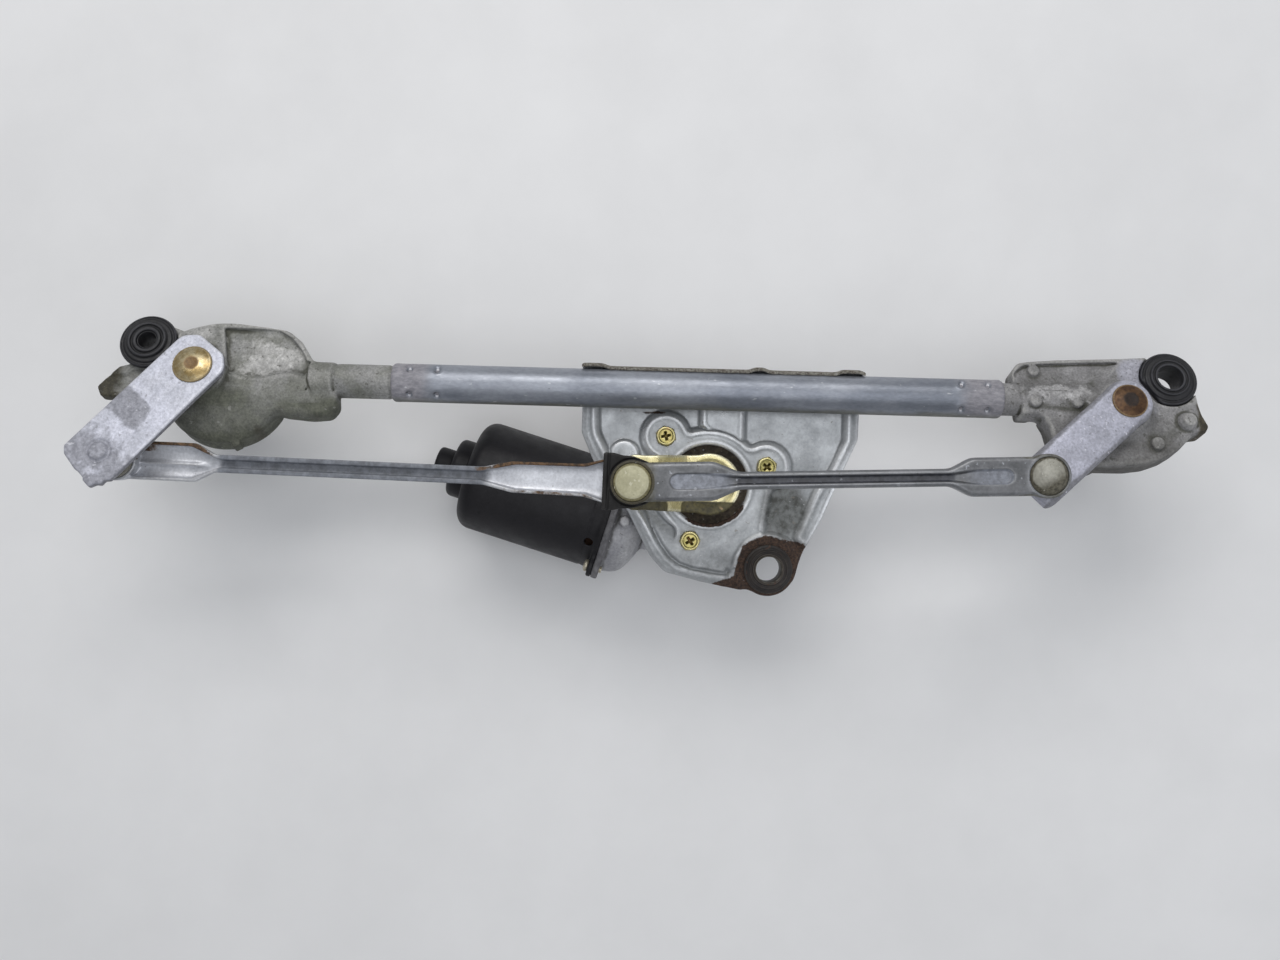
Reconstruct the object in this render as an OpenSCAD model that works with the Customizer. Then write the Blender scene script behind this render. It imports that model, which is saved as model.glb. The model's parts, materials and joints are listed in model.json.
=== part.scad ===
// Windscreen wiper linkage: a tube frame with two leaning pivot housings,
// a stamped motor plate, a geared motor, a crank and two push rods.
// The tube lies along X. Millimetres, +Z up, linkage side up.

/* [Frame] */
// Outer diameter of the frame tube
tube_d = 22; // [21.6:0.1:22.1]
// Wall thickness of the frame tube
tube_wall = 1.7; // [1.3:0.1:2.0]
// Left end of the frame tube
tube_x0 = -144; // [-148:1:-141]
// Right end of the frame tube
tube_x1 = 207; // [203:1:208]
// Lean of both pivot housings about the tube, in degrees
lean = 20; // [19:0.5:21]

/* [Crank and levers] */
// Distance from the motor shaft to the crank pin
crank_r = 44; // [42:0.5:45]
// Thickness of the crank arm
crank_t = 5; // [4:0.5:5]
// Thickness of both levers
lever_t = 6; // [5:0.5:6]
// Half width of the left lever
lever_wl = 17; // [15:0.5:17]
// Half width of the right lever
lever_wr = 13.5; // [12:0.5:14]
// Radius of the balls on the studs
ball_r = 6.5; // [6:0.1:6.5]
// Radial play of a ball in its socket
ball_play = 0.08; // [0.05:0.01:0.15]

/* [Spindles] */
// Radius of the spindle journals
spindle_r = 7; // [6.8:0.1:7]
// Radial running clearance of shafts in their bushes
run = 0.05; // [0.02:0.01:0.1]
// Radius of the left spindle's domed head
head_l = 10.7; // [10:0.1:11]
// Radius of the right spindle's domed head
head_r = 9.8; // [9:0.1:10.5]

/* [Motor] */
// Outer radius of the motor yoke
yoke_r = 34; // [33:0.5:34]
// Angle of the motor axis from the tube, in degrees
motor_a = -16.4; // [-18:0.2:-15]

/* [Plate] */
// Thickness of the motor plate
plate_t = 2; // [1.6:0.1:2]
// Radius of the hole round the motor shaft
plate_hole = 23; // [22:0.5:24]

/* [Hidden] */
$fn = 64;

// the tube axis, seen from the middle of the resting face
org = [-2.743, 41.179, 80.5];
// motor shaft, and the levels of the two balls on the crank pin
shaft = [40, -53.5];
ball_zl = 25;
ball_zr = 41;
// pivots and lever balls in the leaning frame of the housings
sp_l = [-252, -1];
sp_r = [271.7, -7.5];
bl_l = [-292, -52, 1];
bl_r = [217.4, -57.4, 29];
gr_l = [-285, 18.8];
gr_r = [301.5, 12.7];
low = [76, -102];
lever_top = 19;
lever_bot = lever_top - lever_t;
tube_r = tube_d / 2;
spig_r = tube_r - tube_wall - 0.05;
plate_z = -tube_r;
motor_z = -46.5;
// teeth of the worm wheel and the gear module
wheel_n = 48;
gear_m = 1.25;
wheel_r = gear_m * wheel_n / 2;
worm_c = 37.2;
pitch = PI * gear_m;
// turn of the worm that puts its thread in a tooth gap
worm_a = 90 - 360 * 12 / pitch;
screws = [[14.4, -26.1], [73.6, -42.5], [30, -86.7]];
// foot of the worm under the wheel
nl = [-sin(motor_a), cos(motor_a)];
foot = [shaft.x - worm_c * nl.x, shaft.y - worm_c * nl.y];
function h2w(p) = [p.x, p.y * cos(lean) + p.z * sin(lean), -p.y * sin(lean) + p.z * cos(lean)];
pin_l = [shaft.x - crank_r, shaft.y, ball_zl];
pin_r = [shaft.x - crank_r, shaft.y, ball_zr];
dl = h2w(bl_l) - pin_l;
dr = h2w(bl_r) - pin_r;
len_l = norm(dl);
len_r = norm(dr);

// frames: level frame, leaning housing frame, motor frame, link frames
module level() { translate(org) children(); }
module leaning() { translate(org) rotate([-lean, 0, 0]) children(); }
module motor() { translate(org + [foot.x, foot.y, motor_z]) rotate([0, 0, motor_a]) children(); }
module along(p, d) { translate(org + p) rotate([0, -atan2(d.z, norm([d.x, d.y])), atan2(d.y, d.x)]) children(); }
module left_link() { along(pin_l, dl) children(); }
module right_link() { along(pin_r, dr) children(); }
module left_lever_frame() { leaning() translate([sp_l.x, sp_l.y, 0]) rotate([0, 0, atan2(bl_l.y - sp_l.y, bl_l.x - sp_l.x)]) children(); }
module right_lever_frame() { leaning() translate([sp_r.x, sp_r.y, 0]) rotate([0, 0, atan2(bl_r.y - sp_r.y, bl_r.x - sp_r.x)]) children(); }

// a slab between two levels
module slab(z0, z1) { translate([0, 0, z0]) linear_extrude(z1 - z0) children(); }
module ring(ro, ri, z0, z1) {
  difference() {
    translate([0, 0, z0]) cylinder(r = ro, h = z1 - z0);
    translate([0, 0, z0 - 1]) cylinder(r = ri, h = z1 - z0 + 2);
  }
}
module rod(r, z0, z1) { translate([0, 0, z0]) cylinder(r = r, h = z1 - z0); }
// a rod along X
module xrod(r, x0, x1) { translate([x0, 0, 0]) rotate([0, 90, 0]) cylinder(r = r, h = x1 - x0); }
module xring(ro, ri, x0, x1) { difference() { xrod(ro, x0, x1); xrod(ri, x0 - 1, x1 + 1); } }
// an outline that is the same on both sides of X, from half widths
module both(pts, d = 0) {
  polygon(concat([for (p = pts) [p.x, p.y - d]], [for (i = [len(pts) - 1:-1:0]) [pts[i].x, -pts[i].y + d]]));
}

// ---- fixed frame ----
module frame_tube() color("slategray") level() xring(tube_r, tube_r - tube_wall, tube_x0, tube_x1);

module left_pivot_housing() color("darkgray") leaning() difference() {
  union() {
    slab(-9, 7) polygon([[-274, 24], [-249, 30], [-214, 30], [-203, 26], [-193, 14], [-188, 8], [-174, 8], [-173.5, -16], [-178, -21.5], [-188, -22.5], [-206, -21.5], [-216, -18], [-262, -16]]);
    translate([-240, -3.5, 0]) rod(34, -14, -8);
    translate([-240, -3.5, -20]) cylinder(r1 = 26, r2 = 34, h = 6.2);
    translate([-237, -6, 0]) rod(27, -8.5, -1);
    translate([sp_l.x, sp_l.y, 0]) rod(15, -62, 11);
    translate([sp_l.x, sp_l.y, -46]) cylinder(r1 = 15.5, r2 = 25, h = 34);
    translate([gr_l.x, gr_l.y, 0]) rod(15, -3, 3);
    slab(-3, 3) polygon([[-297, 10], [-264, -12], [-245, 10], [-262, 26], [-279, 32.5]]);
    slab(-7, 0) polygon([[-311.5, -6], [-303, 3], [-287, 8], [-262, -4], [-268, -18], [-296, -15], [-310, -13]]);
    xrod(9.8, -175, tube_x0);
    xrod(spig_r, tube_x0 - 1, tube_x0 + 34);
  }
  translate([sp_l.x, sp_l.y, 0]) rod(9, -70, 20);
  translate([gr_l.x, gr_l.y, 0]) { rod(10.5, -5, 5); rod(17, 3, 30); rod(17, -40, -3); }
  slab(3.5, 8) polygon([[-235, 26], [-214, 26], [-206, 23], [-196, 9], [-222, 2], [-235, 8]]);
}

module right_pivot_housing() color("darkgray") leaning() difference() {
  union() {
    slab(-9, 7) polygon([[211, 14], [216, 20], [229, 22.5], [288, 26], [300, 0], [317, -8], [319, -15.5], [317, -18.5], [311, -19.5], [303, -28], [295, -34], [286, -38], [275, -39.8], [253, -39.4], [242, -37.5], [234, -26], [231, -15.5], [227, -10.5], [216, -10], [216, 7], [211, 8]]);
    xrod(10.4, tube_x1, 262);
    xrod(spig_r, tube_x1 - 34, tube_x1 + 1);
    translate([sp_r.x, sp_r.y, 0]) rod(15, -64, 11);
    translate([sp_r.x, sp_r.y, -46]) cylinder(r1 = 15.5, r2 = 25, h = 38);
    translate([gr_r.x, gr_r.y, 0]) rod(15, -3, 3);
    slab(-3, 3) polygon([[286, 10], [280, 26], [299, 27.4], [315, 8], [317, -8], [290, -10]]);
    for (p = [[311, -14], [291, -27], [219, 1]]) translate([p.x, p.y, 0]) rod(3.4, 0, p.x < 250 ? 11 : 9);
  }
  translate([sp_r.x, sp_r.y, 0]) rod(9, -70, 20);
  translate([gr_r.x, gr_r.y, 0]) { rod(10.5, -5, 12); rod(17, 3, 30); rod(17, -40, -3); }
  slab(3.5, 8) polygon([[219, 15], [229, 19], [272, 22.5], [258, 11.5], [219, 11.5]]);
}

// the plate: flat blank with the shaft hole, the screw holes and the ear, hooked under and behind the tube
module motor_plate() color("silver") level() difference() {
  union() {
    slab(plate_z - plate_t, plate_z) union() {
      polygon([[-35, 0.5], [-35, -25], [-28, -41], [-7, -70], [7, -96.5], [15.5, -105.5], [36.5, -110.5], [64, -116], [80, -112], [92, -105], [97.5, -90], [107, -72], [119.5, -42], [127, -25], [127.5, 0.5]]);
      translate(low) circle(r = 16);
    }
    translate([-35, 0, 0]) rotate([90, 0, 90]) linear_extrude(162.5) difference() {
      circle(r = tube_r + plate_t);
      circle(r = tube_r + 0.05);
      translate([-40, -40]) square([40, 80]);
      translate([-1, 5]) square([30, 30]);
    }
  }
  translate([shaft.x, shaft.y, -20]) cylinder(r = plate_hole, h = 20);
  for (s = screws) translate([s.x, s.y, -20]) cylinder(r = 3.3, h = 20);
  translate([low.x, low.y, -20]) cylinder(r = 11, h = 20);
  // clear of the tube
  xrod(tube_r + 0.05, -40, 140);
}

// a rubber grommet: waist w in its ear, flanges f, raised collar c, bore b
module grommet(w, f, c, b, z0, z1, zf0, zf1, zc, flat_a = 0, flat_d = 99) {
  difference() {
    union() {
      rod(w, zf0, zf1);
      difference() {
        rod(f, zf1, z1);
        rotate([0, 0, flat_a]) translate([flat_d, -40, zf1 - 1]) cube([40, 80, 40]);
      }
      rod(f, z0, zf0);
      rod(c, z1 - 1, zc);
      rod(c, z0 - 0.5, z0 + 1);
    }
    rod(b, z0 - 5, zc + 5);
  }
}
module left_mount_grommet() color([0.08, 0.08, 0.09]) leaning() translate([gr_l.x, gr_l.y, 0])
  grommet(10.4, 16.4, 11.2, 5.9, -8, 7.5, -3.05, 3.05, 9.5, -31, 14.2);
module left_mount_collar() color("dimgray") leaning() translate([gr_l.x, gr_l.y, 0]) ring(5.85, 5, -9, 8.5);
module right_mount_grommet() color([0.08, 0.08, 0.09]) leaning() translate([gr_r.x, gr_r.y, 0])
  grommet(10.4, 16.4, 11.2, 7.3, -8, 7.5, -3.05, 3.05, 9.5, 214, 13.5);
module lower_mount_grommet() color([0.08, 0.08, 0.09]) level() translate([low.x, low.y, plate_z - plate_t / 2])
  grommet(10.9, 14.2, 12.4, 8.1, -7, 6, -plate_t / 2 - 0.05, plate_t / 2 + 0.05, 7.5);
module lower_mount_sleeve() color("silver") level() translate([low.x, low.y, plate_z - plate_t / 2]) ring(8.05, 7.5, -8, 8);

module bushes(z0) { ring(8.95, spindle_r + run, -10, 7.5); ring(8.95, spindle_r + run, z0, z0 + 18); }
module left_spindle_bushes() color("peru") leaning() translate([sp_l.x, sp_l.y, 0]) bushes(-61.5);
module right_spindle_bushes() color("peru") leaning() translate([sp_r.x, sp_r.y, 0]) bushes(-63.5);
module left_spindle_seal() color([0.1, 0.1, 0.1]) leaning() translate([sp_l.x, sp_l.y, 0]) ring(8.95, spindle_r + run, 7.7, 10.6);
module right_spindle_seal() color([0.1, 0.1, 0.1]) leaning() translate([sp_r.x, sp_r.y, 0]) ring(8.95, spindle_r + run, 7.7, 10.6);

// hexagon head with a cross recess, flange and shank
module cross_screw(af, hh, fr, sr, sl) {
  difference() {
    union() {
      rod(fr, 0, 1);
      translate([0, 0, 0.5]) cylinder(r = af / sqrt(3), h = hh - 0.5, $fn = 6);
    }
    for (a = [0, 90]) rotate([0, 0, a]) translate([-af * 0.3, -0.7, hh - 1.8]) cube([af * 0.6, 1.4, 3]);
  }
  rod(sr, -sl, 0.6);
}
module motor_screws() color("goldenrod") level() for (s = screws) translate([s.x, s.y, plate_z]) cross_screw(10, 5, 6, 3, 16);

// ---- geared motor ----
// joint face of yoke and gear housing, with an ear for each screw
ear = [-31, 22];
module flange_face() { circle(r = yoke_r + 0.8); for (s = [-1, 1]) translate(s * ear) circle(r = 6); }
module upright() { intersection() { rotate([90, 0, 90]) children(); translate([-200, -60, -yoke_r]) cube([400, 120, 2 * yoke_r]); } }
module gear_housing() color("gainsboro") difference() {
  union() {
    level() translate([shaft.x, shaft.y, 0]) {
      rod(38, -60, -31);
      rod(42, -60, -56);
      rod(13, -32, -7);
    }
    level() for (s = screws) translate([s.x, s.y, 0]) rod(8.5, -40, plate_z - plate_t - 0.02);
    motor() {
      xrod(12.4, -46, 31);
      translate([-49.5, 0, 0]) upright() linear_extrude(4) flange_face();
      // throat that narrows from the joint face to the worm's tunnel
      intersection() {
        union() {
          translate([-46, 0, 0]) rotate([0, 90, 0]) cylinder(r1 = 33, r2 = 31, h = 10);
          translate([-36, 0, 0]) rotate([0, 90, 0]) cylinder(r1 = 31, r2 = 16, h = 9);
        }
        translate([-50, -60, -26]) cube([30, 120, 52]);
      }
    }
    // the foot of the socket
    level() translate([68, -66, -56]) cube([20, 26, 20]);
  }
  level() translate([shaft.x, shaft.y, 0]) {
    rod(33.5, -70, -37);
    rod(42.3, -90, -60);
    rod(8, -40, 0);
  }
  level() for (s = screws) translate([s.x, s.y, 0]) rod(3.02, -29, 0);
  motor() {
    xrod(9, -60, 28);
    xrod(22, -60, -38);
    for (s = [-1, 1]) translate([0, s * ear.x, s * ear.y]) xrod(2.02, -60, -40);
  }
  level() translate([shaft.x, shaft.y, 0]) for (a = [20:90:290]) rotate([0, 0, a]) translate([39.6, 0, 0]) rod(1.52, -70, -50);
}
module gear_cover_gasket() color([0.12, 0.12, 0.12]) level() translate([shaft.x, shaft.y, 0]) difference() {
  ring(41.5, 34.5, -60.8, -60);
  for (a = [20:90:290]) rotate([0, 0, a]) translate([39.6, 0, 0]) rod(1.8, -70, -50);
}
module gear_cover() color("lightgray") level() translate([shaft.x, shaft.y, 0]) difference() {
  union() {
    rod(42, -62.8, -60.8);
    rod(33, -66, -62);
  }
  rod(31, -64.2, -60);
  for (a = [20:90:290]) rotate([0, 0, a]) translate([39.6, 0, 0]) rod(1.7, -70, -50);
}
module gear_cover_screws() color("goldenrod") level() translate([shaft.x, shaft.y, 0])
  for (a = [20:90:290]) rotate([0, 0, a]) translate([39.6, 0, -62.8]) rotate([180, 0, 0]) {
    rod(2.4, 0, 2);
    rod(1.5, -7, 0.5);
  }
module output_shaft_bush() color("peru") level() translate([shaft.x, shaft.y, 0]) ring(7.98, 6 + run, -33, -8);

// yoke: a drawn can with a stepped rear end, open at the flange
module motor_yoke() color([0.1, 0.1, 0.11]) motor() difference() {
  union() {
    xrod(yoke_r, -131, -49.55);
    xrod(18, -150, -138);
    xrod(9.5, -161, -149);
    translate([-52.5, 0, 0]) upright() linear_extrude(2.95) flange_face();
    translate([-139, 0, 0]) rotate([0, 90, 0]) cylinder(r1 = yoke_r - 7, r2 = yoke_r, h = 8.5);
  }
  xrod(yoke_r - 2, -130, -45);
  xrod(yoke_r - 9.5, -137, -129);
  xrod(16, -148, -130);
  xrod(8, -159, -130);
  for (s = [-1, 1]) translate([0, s * ear.x, s * ear.y]) xrod(2.2, -60, -45);
}
module yoke_screws() color("goldenrod") motor() for (s = [-1, 1]) translate([-52.5, s * ear.x, s * ear.y]) {
  difference() {
    xrod(3.6, -3, 0);
    for (a = [0, 90]) rotate([a, 0, 0]) translate([-4, -2.2, -0.5]) cube([2.2, 4.4, 1]);
  }
  xrod(2, -0.5, 8.5);
}
module field_magnets() color([0.2, 0.2, 0.22]) motor() for (a = [-65, 115]) translate([-128, 0, 0]) rotate([0, 90, 0]) rotate([0, 0, a])
  rotate_extrude(angle = 130) translate([22.5, 0]) square([9.3, 58]);
module brush_plate() color("saddlebrown") motor() difference() {
  union() {
    xring(31.7, 13, -53, -51);
    for (s = [-1, 1]) translate([-63.6, s > 0 ? 12.5 : -26.5, -5]) cube([11, 14, 10]);
  }
  for (s = [-1, 1]) translate([-61.65, s > 0 ? 10 : -29, -2.55]) cube([7.1, 19, 5.1]);
  xrod(12.4, -66, -45);
}
module brushes() color([0.15, 0.15, 0.15]) motor() for (s = [-1, 1]) translate([-61.6, s > 0 ? 11.4 : -24.4, -2.5]) cube([7, 13, 5]);
module rear_bearing() color("peru") motor() xring(7.95, 4 + run, -158.5, -150.2);
module front_bearing() color("peru") motor() xring(8.95, 4 + run, 19.5, 27.5);
module connector_housing() color([0.12, 0.12, 0.13]) level() difference() {
  translate([88.05, -67, -57]) cube([22, 28, 22]);
  translate([92, -64.5, -54.5]) cube([30, 23, 17]);
  for (y = [-60, -55, -50, -45]) translate([85, y - 1.05, -46.45]) cube([10, 2.1, 0.9]);
}
module connector_terminals() color("silver") level() for (y = [-60, -55, -50, -45]) translate([88.5, y - 1, -46.4]) cube([14, 2, 0.8]);

// ---- crank ----
module output_shaft() color("silver") level() translate([shaft.x, shaft.y, 0]) {
  rod(6, -58, -4);
  rod(5, -4.5, 1);
  rod(4, 0.5, 10);
}
// worm wheel: straight teeth, thinner than the gaps so that they run free in the worm
module worm_wheel() color("ivory") level() translate([shaft.x, shaft.y, motor_z]) difference() {
  union() {
    rod(wheel_r - 1.6, -4, 4);
    rod(12, -8, 9);
    intersection() {
      rod(wheel_r + 1, -4, 4);
      for (i = [0:wheel_n - 1]) rotate([0, 0, (i + 0.5) * 360 / wheel_n + motor_a - 90])
        translate([wheel_r - 3, -0.32 * pitch / 2, -4]) cube([8, 0.32 * pitch, 8]);
    }
  }
  rod(6.02, -20, 20);
}
// joggled arm: low at the hub, high at the pin
module crank_arm() color("goldenrod") level() translate([shaft.x, shaft.y, 0]) rotate([0, 0, 180]) difference() {
  intersection() {
    translate([0, 30, 0]) rotate([90, 0, 0]) linear_extrude(60)
      polygon([[-20, -4], [16, -4], [32, 12], [70, 12], [70, 12 + crank_t], [30, 12 + crank_t], [14, -4 + crank_t], [-20, -4 + crank_t]]);
    slab(-10, 30) union() {
      circle(r = 17);
      translate([crank_r, 0]) circle(r = 15);
      polygon([[0, -17], [crank_r, -15], [crank_r, 15], [0, 17]]);
    }
  }
  rod(5.02, -10, 10);
  translate([crank_r, 0, 0]) rod(5.02, 5, 25);
}
module crank_nut() color("goldenrod") level() translate([shaft.x, shaft.y, 0]) difference() {
  union() {
    rod(9, 1.02, 2.5);
    translate([0, 0, 2.4]) cylinder(r = 7.5, h = 6, $fn = 6);
  }
  rod(4.02, 0, 20);
}
module crank_ball_stud() color("silver") level() translate([shaft.x - crank_r, shaft.y, 0]) {
  rod(7, 9.5, 11.98);
  rod(5, 11, 18);
  rod(7.5, 12 + crank_t + 0.02, 18.4);
  rod(3.8, 18, ball_zr);
  translate([0, 0, ball_zl]) sphere(r = ball_r);
  translate([0, 0, ball_zr]) sphere(r = ball_r);
}

// ---- armature ----
module armature_shaft() color("silver") motor() {
  xrod(4, -157.5, -10);
  xrod(4, 10, 27);
  // worm: a right-hand thread on a thick core
  xrod(5.4, -16, 16);
  translate([-12, 0, 0]) rotate([0, 90, 0]) linear_extrude(24, twist = -360 * 24 / pitch, slices = 102, $fn = 8)
    polygon(concat([[0, 0]], [for (a = [-54:18:54]) 8.2 * [cos(a + worm_a), sin(a + worm_a)]]));
}
module rotor_core() color("dimgray") motor() difference() {
  xrod(20.8, -124, -71.6);
  xrod(4.02, -130, -66);
  for (a = [0:30:330]) rotate([a, 0, 0]) translate([-126, 12, -1.5]) cube([60, 20, 3]);
}
module rotor_windings() color("chocolate") motor() { xring(18, 5, -130, -124.05); xring(18, 5, -71.55, -66.1); }
module commutator() color("peru") motor() xring(11.2, 4.02, -65.6, -54.6);

// ---- links ----
// stamped channel from half widths: web on one side, walls w deep
module channel(pts, web0, web1, wall0, wall1, t = 1.5) {
  slab(web0, web1) both(pts);
  difference() {
    slab(wall0, wall1) both(pts);
    slab(wall0 - 1, wall1 + 1) both([for (p = pts) [p.x + (p.x == pts[0].x ? -5 : p.x == pts[len(pts) - 1].x ? 5 : 0), p.y]], t);
  }
}
// bearing shell for a ball, open towards the stud's neck
module ball_cup(r, z0, z1, up, down) {
  difference() {
    rod(r, z0, z1);
    sphere(r = ball_r + ball_play);
    if (up) translate([0, 0, 3.2]) cylinder(r1 = 5.6, r2 = 11, h = 12);
    if (down) translate([0, 0, -15.2]) cylinder(r1 = 11, r2 = 5.6, h = 12);
  }
}
module left_link_rod() color("lightgray") left_link() difference() {
  union() {
    channel([[11, 12.5], [18, 12], [26, 8.8], [66, 8.5], [82, 5.7], [232, 5.7], [242, 11], [len_l, 11]], -4, -2.5, -4, 2.6);
    translate([len_l, 0, 0]) rod(11.9, -4, 4.4);
  }
  rod(12.6, -20, 20);
  translate([len_l, 0, 0]) rod(10.3, -20, 20);
}
// black moulded block round the lower crank ball
module left_link_crank_socket() color([0.1, 0.1, 0.1]) left_link() difference() {
  union() {
    rod(12.5, -5.6, 5.6);
    translate([-13, -15.8, -5.6]) cube([29.5, 31.6, 1.5]);
    translate([-13, -15.8, 2.8]) cube([29.5, 31.6, 2.8]);
  }
  sphere(r = ball_r + ball_play);
  translate([0, 0, 3.2]) cylinder(r1 = 4.9, r2 = 9, h = 12);
  translate([0, 0, -15.2]) cylinder(r1 = 9, r2 = 4.9, h = 12);
}
module left_link_lever_socket() color("beige") left_link() translate([len_l, 0, 0]) ball_cup(10.25, -6.9, 5, true, false);
// studs that stand on the levers, with a small gap at the lever's face
module left_lever_ball_stud() color("silver") leaning() translate(bl_l) {
  sphere(r = ball_r);
  rod(3.6, 0, lever_bot - 1.5 - bl_l.z);
  translate([0, 0, lever_bot - 1.7 - bl_l.z]) cylinder(r1 = 6.2, r2 = 3.4, h = 1.2);
  rod(6.2, lever_bot - 2.9 - bl_l.z, lever_bot - 1.7 - bl_l.z);
}
module right_link_rod() color("lightsteelblue") right_link() difference() {
  union() {
    channel([[0, 10.5], [45, 10.5], [57, 4.8], [169, 4.8], [181, 10.5], [len_r, 10.5]], 2.5, 4, -3, 4);
    rod(11.9, -4.5, 4);
    translate([len_r, 0, 0]) rod(11.9, -4.5, 4);
  }
  rod(10.3, -20, 20);
  translate([len_r, 0, 0]) rod(10.3, -20, 20);
}
module domed_cap() {
  difference() {
    union() {
      ball_cup(10.25, -5, 4.2, false, true);
      intersection() {
        translate([0, 0, -20.2]) sphere(r = 27.4);
        rod(10.25, 4, 12);
      }
    }
    sphere(r = ball_r + ball_play);
  }
}
module right_link_crank_socket() color("cornsilk") right_link() domed_cap();
module right_link_lever_socket() color("tan") right_link() translate([len_r, 0, 0]) domed_cap();
module right_lever_ball_stud() color("silver") leaning() translate(bl_r) {
  sphere(r = ball_r);
  rod(3.6, lever_top + 1.5 - bl_r.z, 0);
  translate([0, 0, lever_top + 0.5 - bl_r.z]) cylinder(r1 = 3.4, r2 = 6.2, h = 1.2);
  rod(6.2, lever_top + 1.7 - bl_r.z, lever_top + 2.6 - bl_r.z);
}

// ---- levers and spindles ----
module left_lever() color("gainsboro") left_lever_frame() difference() {
  union() {
    slab(lever_bot, lever_top) polygon([[-10, -lever_wl], [-17, -9.5], [-17, 9.5], [-10, lever_wl], [72, lever_wl], [77, 16.5], [81, 15], [82, 12], [85.5, 9], [85.5, -11], [78, -lever_wl]]);
    // flattened end of the stud's rivet
    translate([norm([bl_l.x - sp_l.x, bl_l.y - sp_l.y]), 0, 0]) rod(5, lever_top - 1, lever_top + 0.6);
  }
  rod(8.02, 0, 30);
}
module right_lever() color("gainsboro") right_lever_frame() difference() {
  slab(lever_bot, lever_top) union() {
    circle(r = lever_wr + 1.5);
    translate([0, -lever_wr]) square([norm([bl_r.x - sp_r.x, bl_r.y - sp_r.y]), 2 * lever_wr]);
    // rounded end, cut off square
    intersection() {
      translate([norm([bl_r.x - sp_r.x, bl_r.y - sp_r.y]), 0]) circle(r = lever_wr);
      translate([norm([bl_r.x - sp_r.x, bl_r.y - sp_r.y]) - 20, -20]) square([30.5, 40]);
    }
  }
  rod(8.02, 0, 30);
}
// spindle: domed head, seat in the lever, journal with a clip groove, taper and threaded end
module spindle(head, zc, zt) {
  hr = 3.6;
  rs = (head * head + hr * hr) / (2 * hr);
  intersection() {
    translate([0, 0, lever_top + 0.02 + hr - rs]) sphere(r = rs);
    rod(head, lever_top + 0.02, 40);
  }
  rod(8, lever_bot, lever_top + 1);
  rod(spindle_r, zc, lever_bot + 1);
  rod(spindle_r - 0.6, zc - 1.4, zc + 0.1);
  rod(spindle_r, zc - 4.4, zc - 1.4);
  translate([0, 0, zc - 12.4]) cylinder(r1 = 5.6, r2 = spindle_r, h = 8);
  rod(4, zt, zc - 12);
}
module left_spindle() color("darkgoldenrod") leaning() translate([sp_l.x, sp_l.y, 0]) spindle(head_l, -63.6, -84.5);
module right_spindle() color("saddlebrown") leaning() translate([sp_r.x, sp_r.y, 0]) spindle(head_r, -65.6, -86.9);
module left_spindle_washer() color("silver") leaning() translate([sp_l.x, sp_l.y, 0]) { ring(13, spindle_r + 0.05, 11.4, lever_bot - 0.05); ring(12, spindle_r + 0.05, -63.55, -62.3); }
module right_spindle_washer() color("silver") leaning() translate([sp_r.x, sp_r.y, 0]) { ring(13, spindle_r + 0.05, 11.4, lever_bot - 0.05); ring(12, spindle_r + 0.05, -65.55, -64.3); }
module clip(z) { difference() { ring(10, spindle_r - 0.58, z - 1.35, z - 0.05); translate([0, -3, z - 3]) cube([20, 6, 6]); } }
module left_spindle_circlip() color("dimgray") leaning() translate([sp_l.x, sp_l.y, 0]) clip(-63.6);
module right_spindle_circlip() color("dimgray") leaning() translate([sp_r.x, sp_r.y, 0]) clip(-65.6);

frame_tube();
left_pivot_housing();
right_pivot_housing();
motor_plate();
left_mount_grommet();
left_mount_collar();
right_mount_grommet();
lower_mount_grommet();
lower_mount_sleeve();
left_spindle_bushes();
right_spindle_bushes();
left_spindle_seal();
right_spindle_seal();
motor_screws();
gear_housing();
gear_cover();
gear_cover_gasket();
gear_cover_screws();
output_shaft_bush();
motor_yoke();
yoke_screws();
field_magnets();
brush_plate();
brushes();
rear_bearing();
front_bearing();
connector_housing();
connector_terminals();
output_shaft();
worm_wheel();
crank_arm();
crank_nut();
crank_ball_stud();
armature_shaft();
rotor_core();
rotor_windings();
commutator();
left_link_rod();
left_link_crank_socket();
left_link_lever_socket();
left_lever_ball_stud();
right_link_rod();
right_link_crank_socket();
right_link_lever_socket();
right_lever_ball_stud();
left_lever();
left_spindle();
left_spindle_washer();
left_spindle_circlip();
right_lever();
right_spindle();
right_spindle_washer();
right_spindle_circlip();
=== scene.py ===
import json
import math

import bpy
import numpy as np
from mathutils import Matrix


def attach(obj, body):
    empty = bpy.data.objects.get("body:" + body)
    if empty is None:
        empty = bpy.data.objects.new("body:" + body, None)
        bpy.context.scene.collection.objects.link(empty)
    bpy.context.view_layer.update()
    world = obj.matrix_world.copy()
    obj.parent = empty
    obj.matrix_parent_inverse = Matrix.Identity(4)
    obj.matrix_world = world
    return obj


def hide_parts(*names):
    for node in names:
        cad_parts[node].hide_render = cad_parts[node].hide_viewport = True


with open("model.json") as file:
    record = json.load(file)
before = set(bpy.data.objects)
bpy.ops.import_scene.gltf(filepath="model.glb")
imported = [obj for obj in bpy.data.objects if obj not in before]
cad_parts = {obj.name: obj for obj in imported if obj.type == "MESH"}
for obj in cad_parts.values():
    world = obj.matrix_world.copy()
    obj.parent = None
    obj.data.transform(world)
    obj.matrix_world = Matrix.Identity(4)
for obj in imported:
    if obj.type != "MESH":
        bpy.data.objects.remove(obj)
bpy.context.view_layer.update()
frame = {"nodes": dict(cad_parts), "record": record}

# Looks of a wiper linkage: die-cast pivot housings, galvanised tube, stamped plate, geared motor,
# crank, push rods and levers. Shapes are worked out as distance fields in millimetres, in the frames
# of the pieces, and turned into meshes; masks for soiling, rust, wear, painted shade and painted highlights are kept on
# the points.

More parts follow.
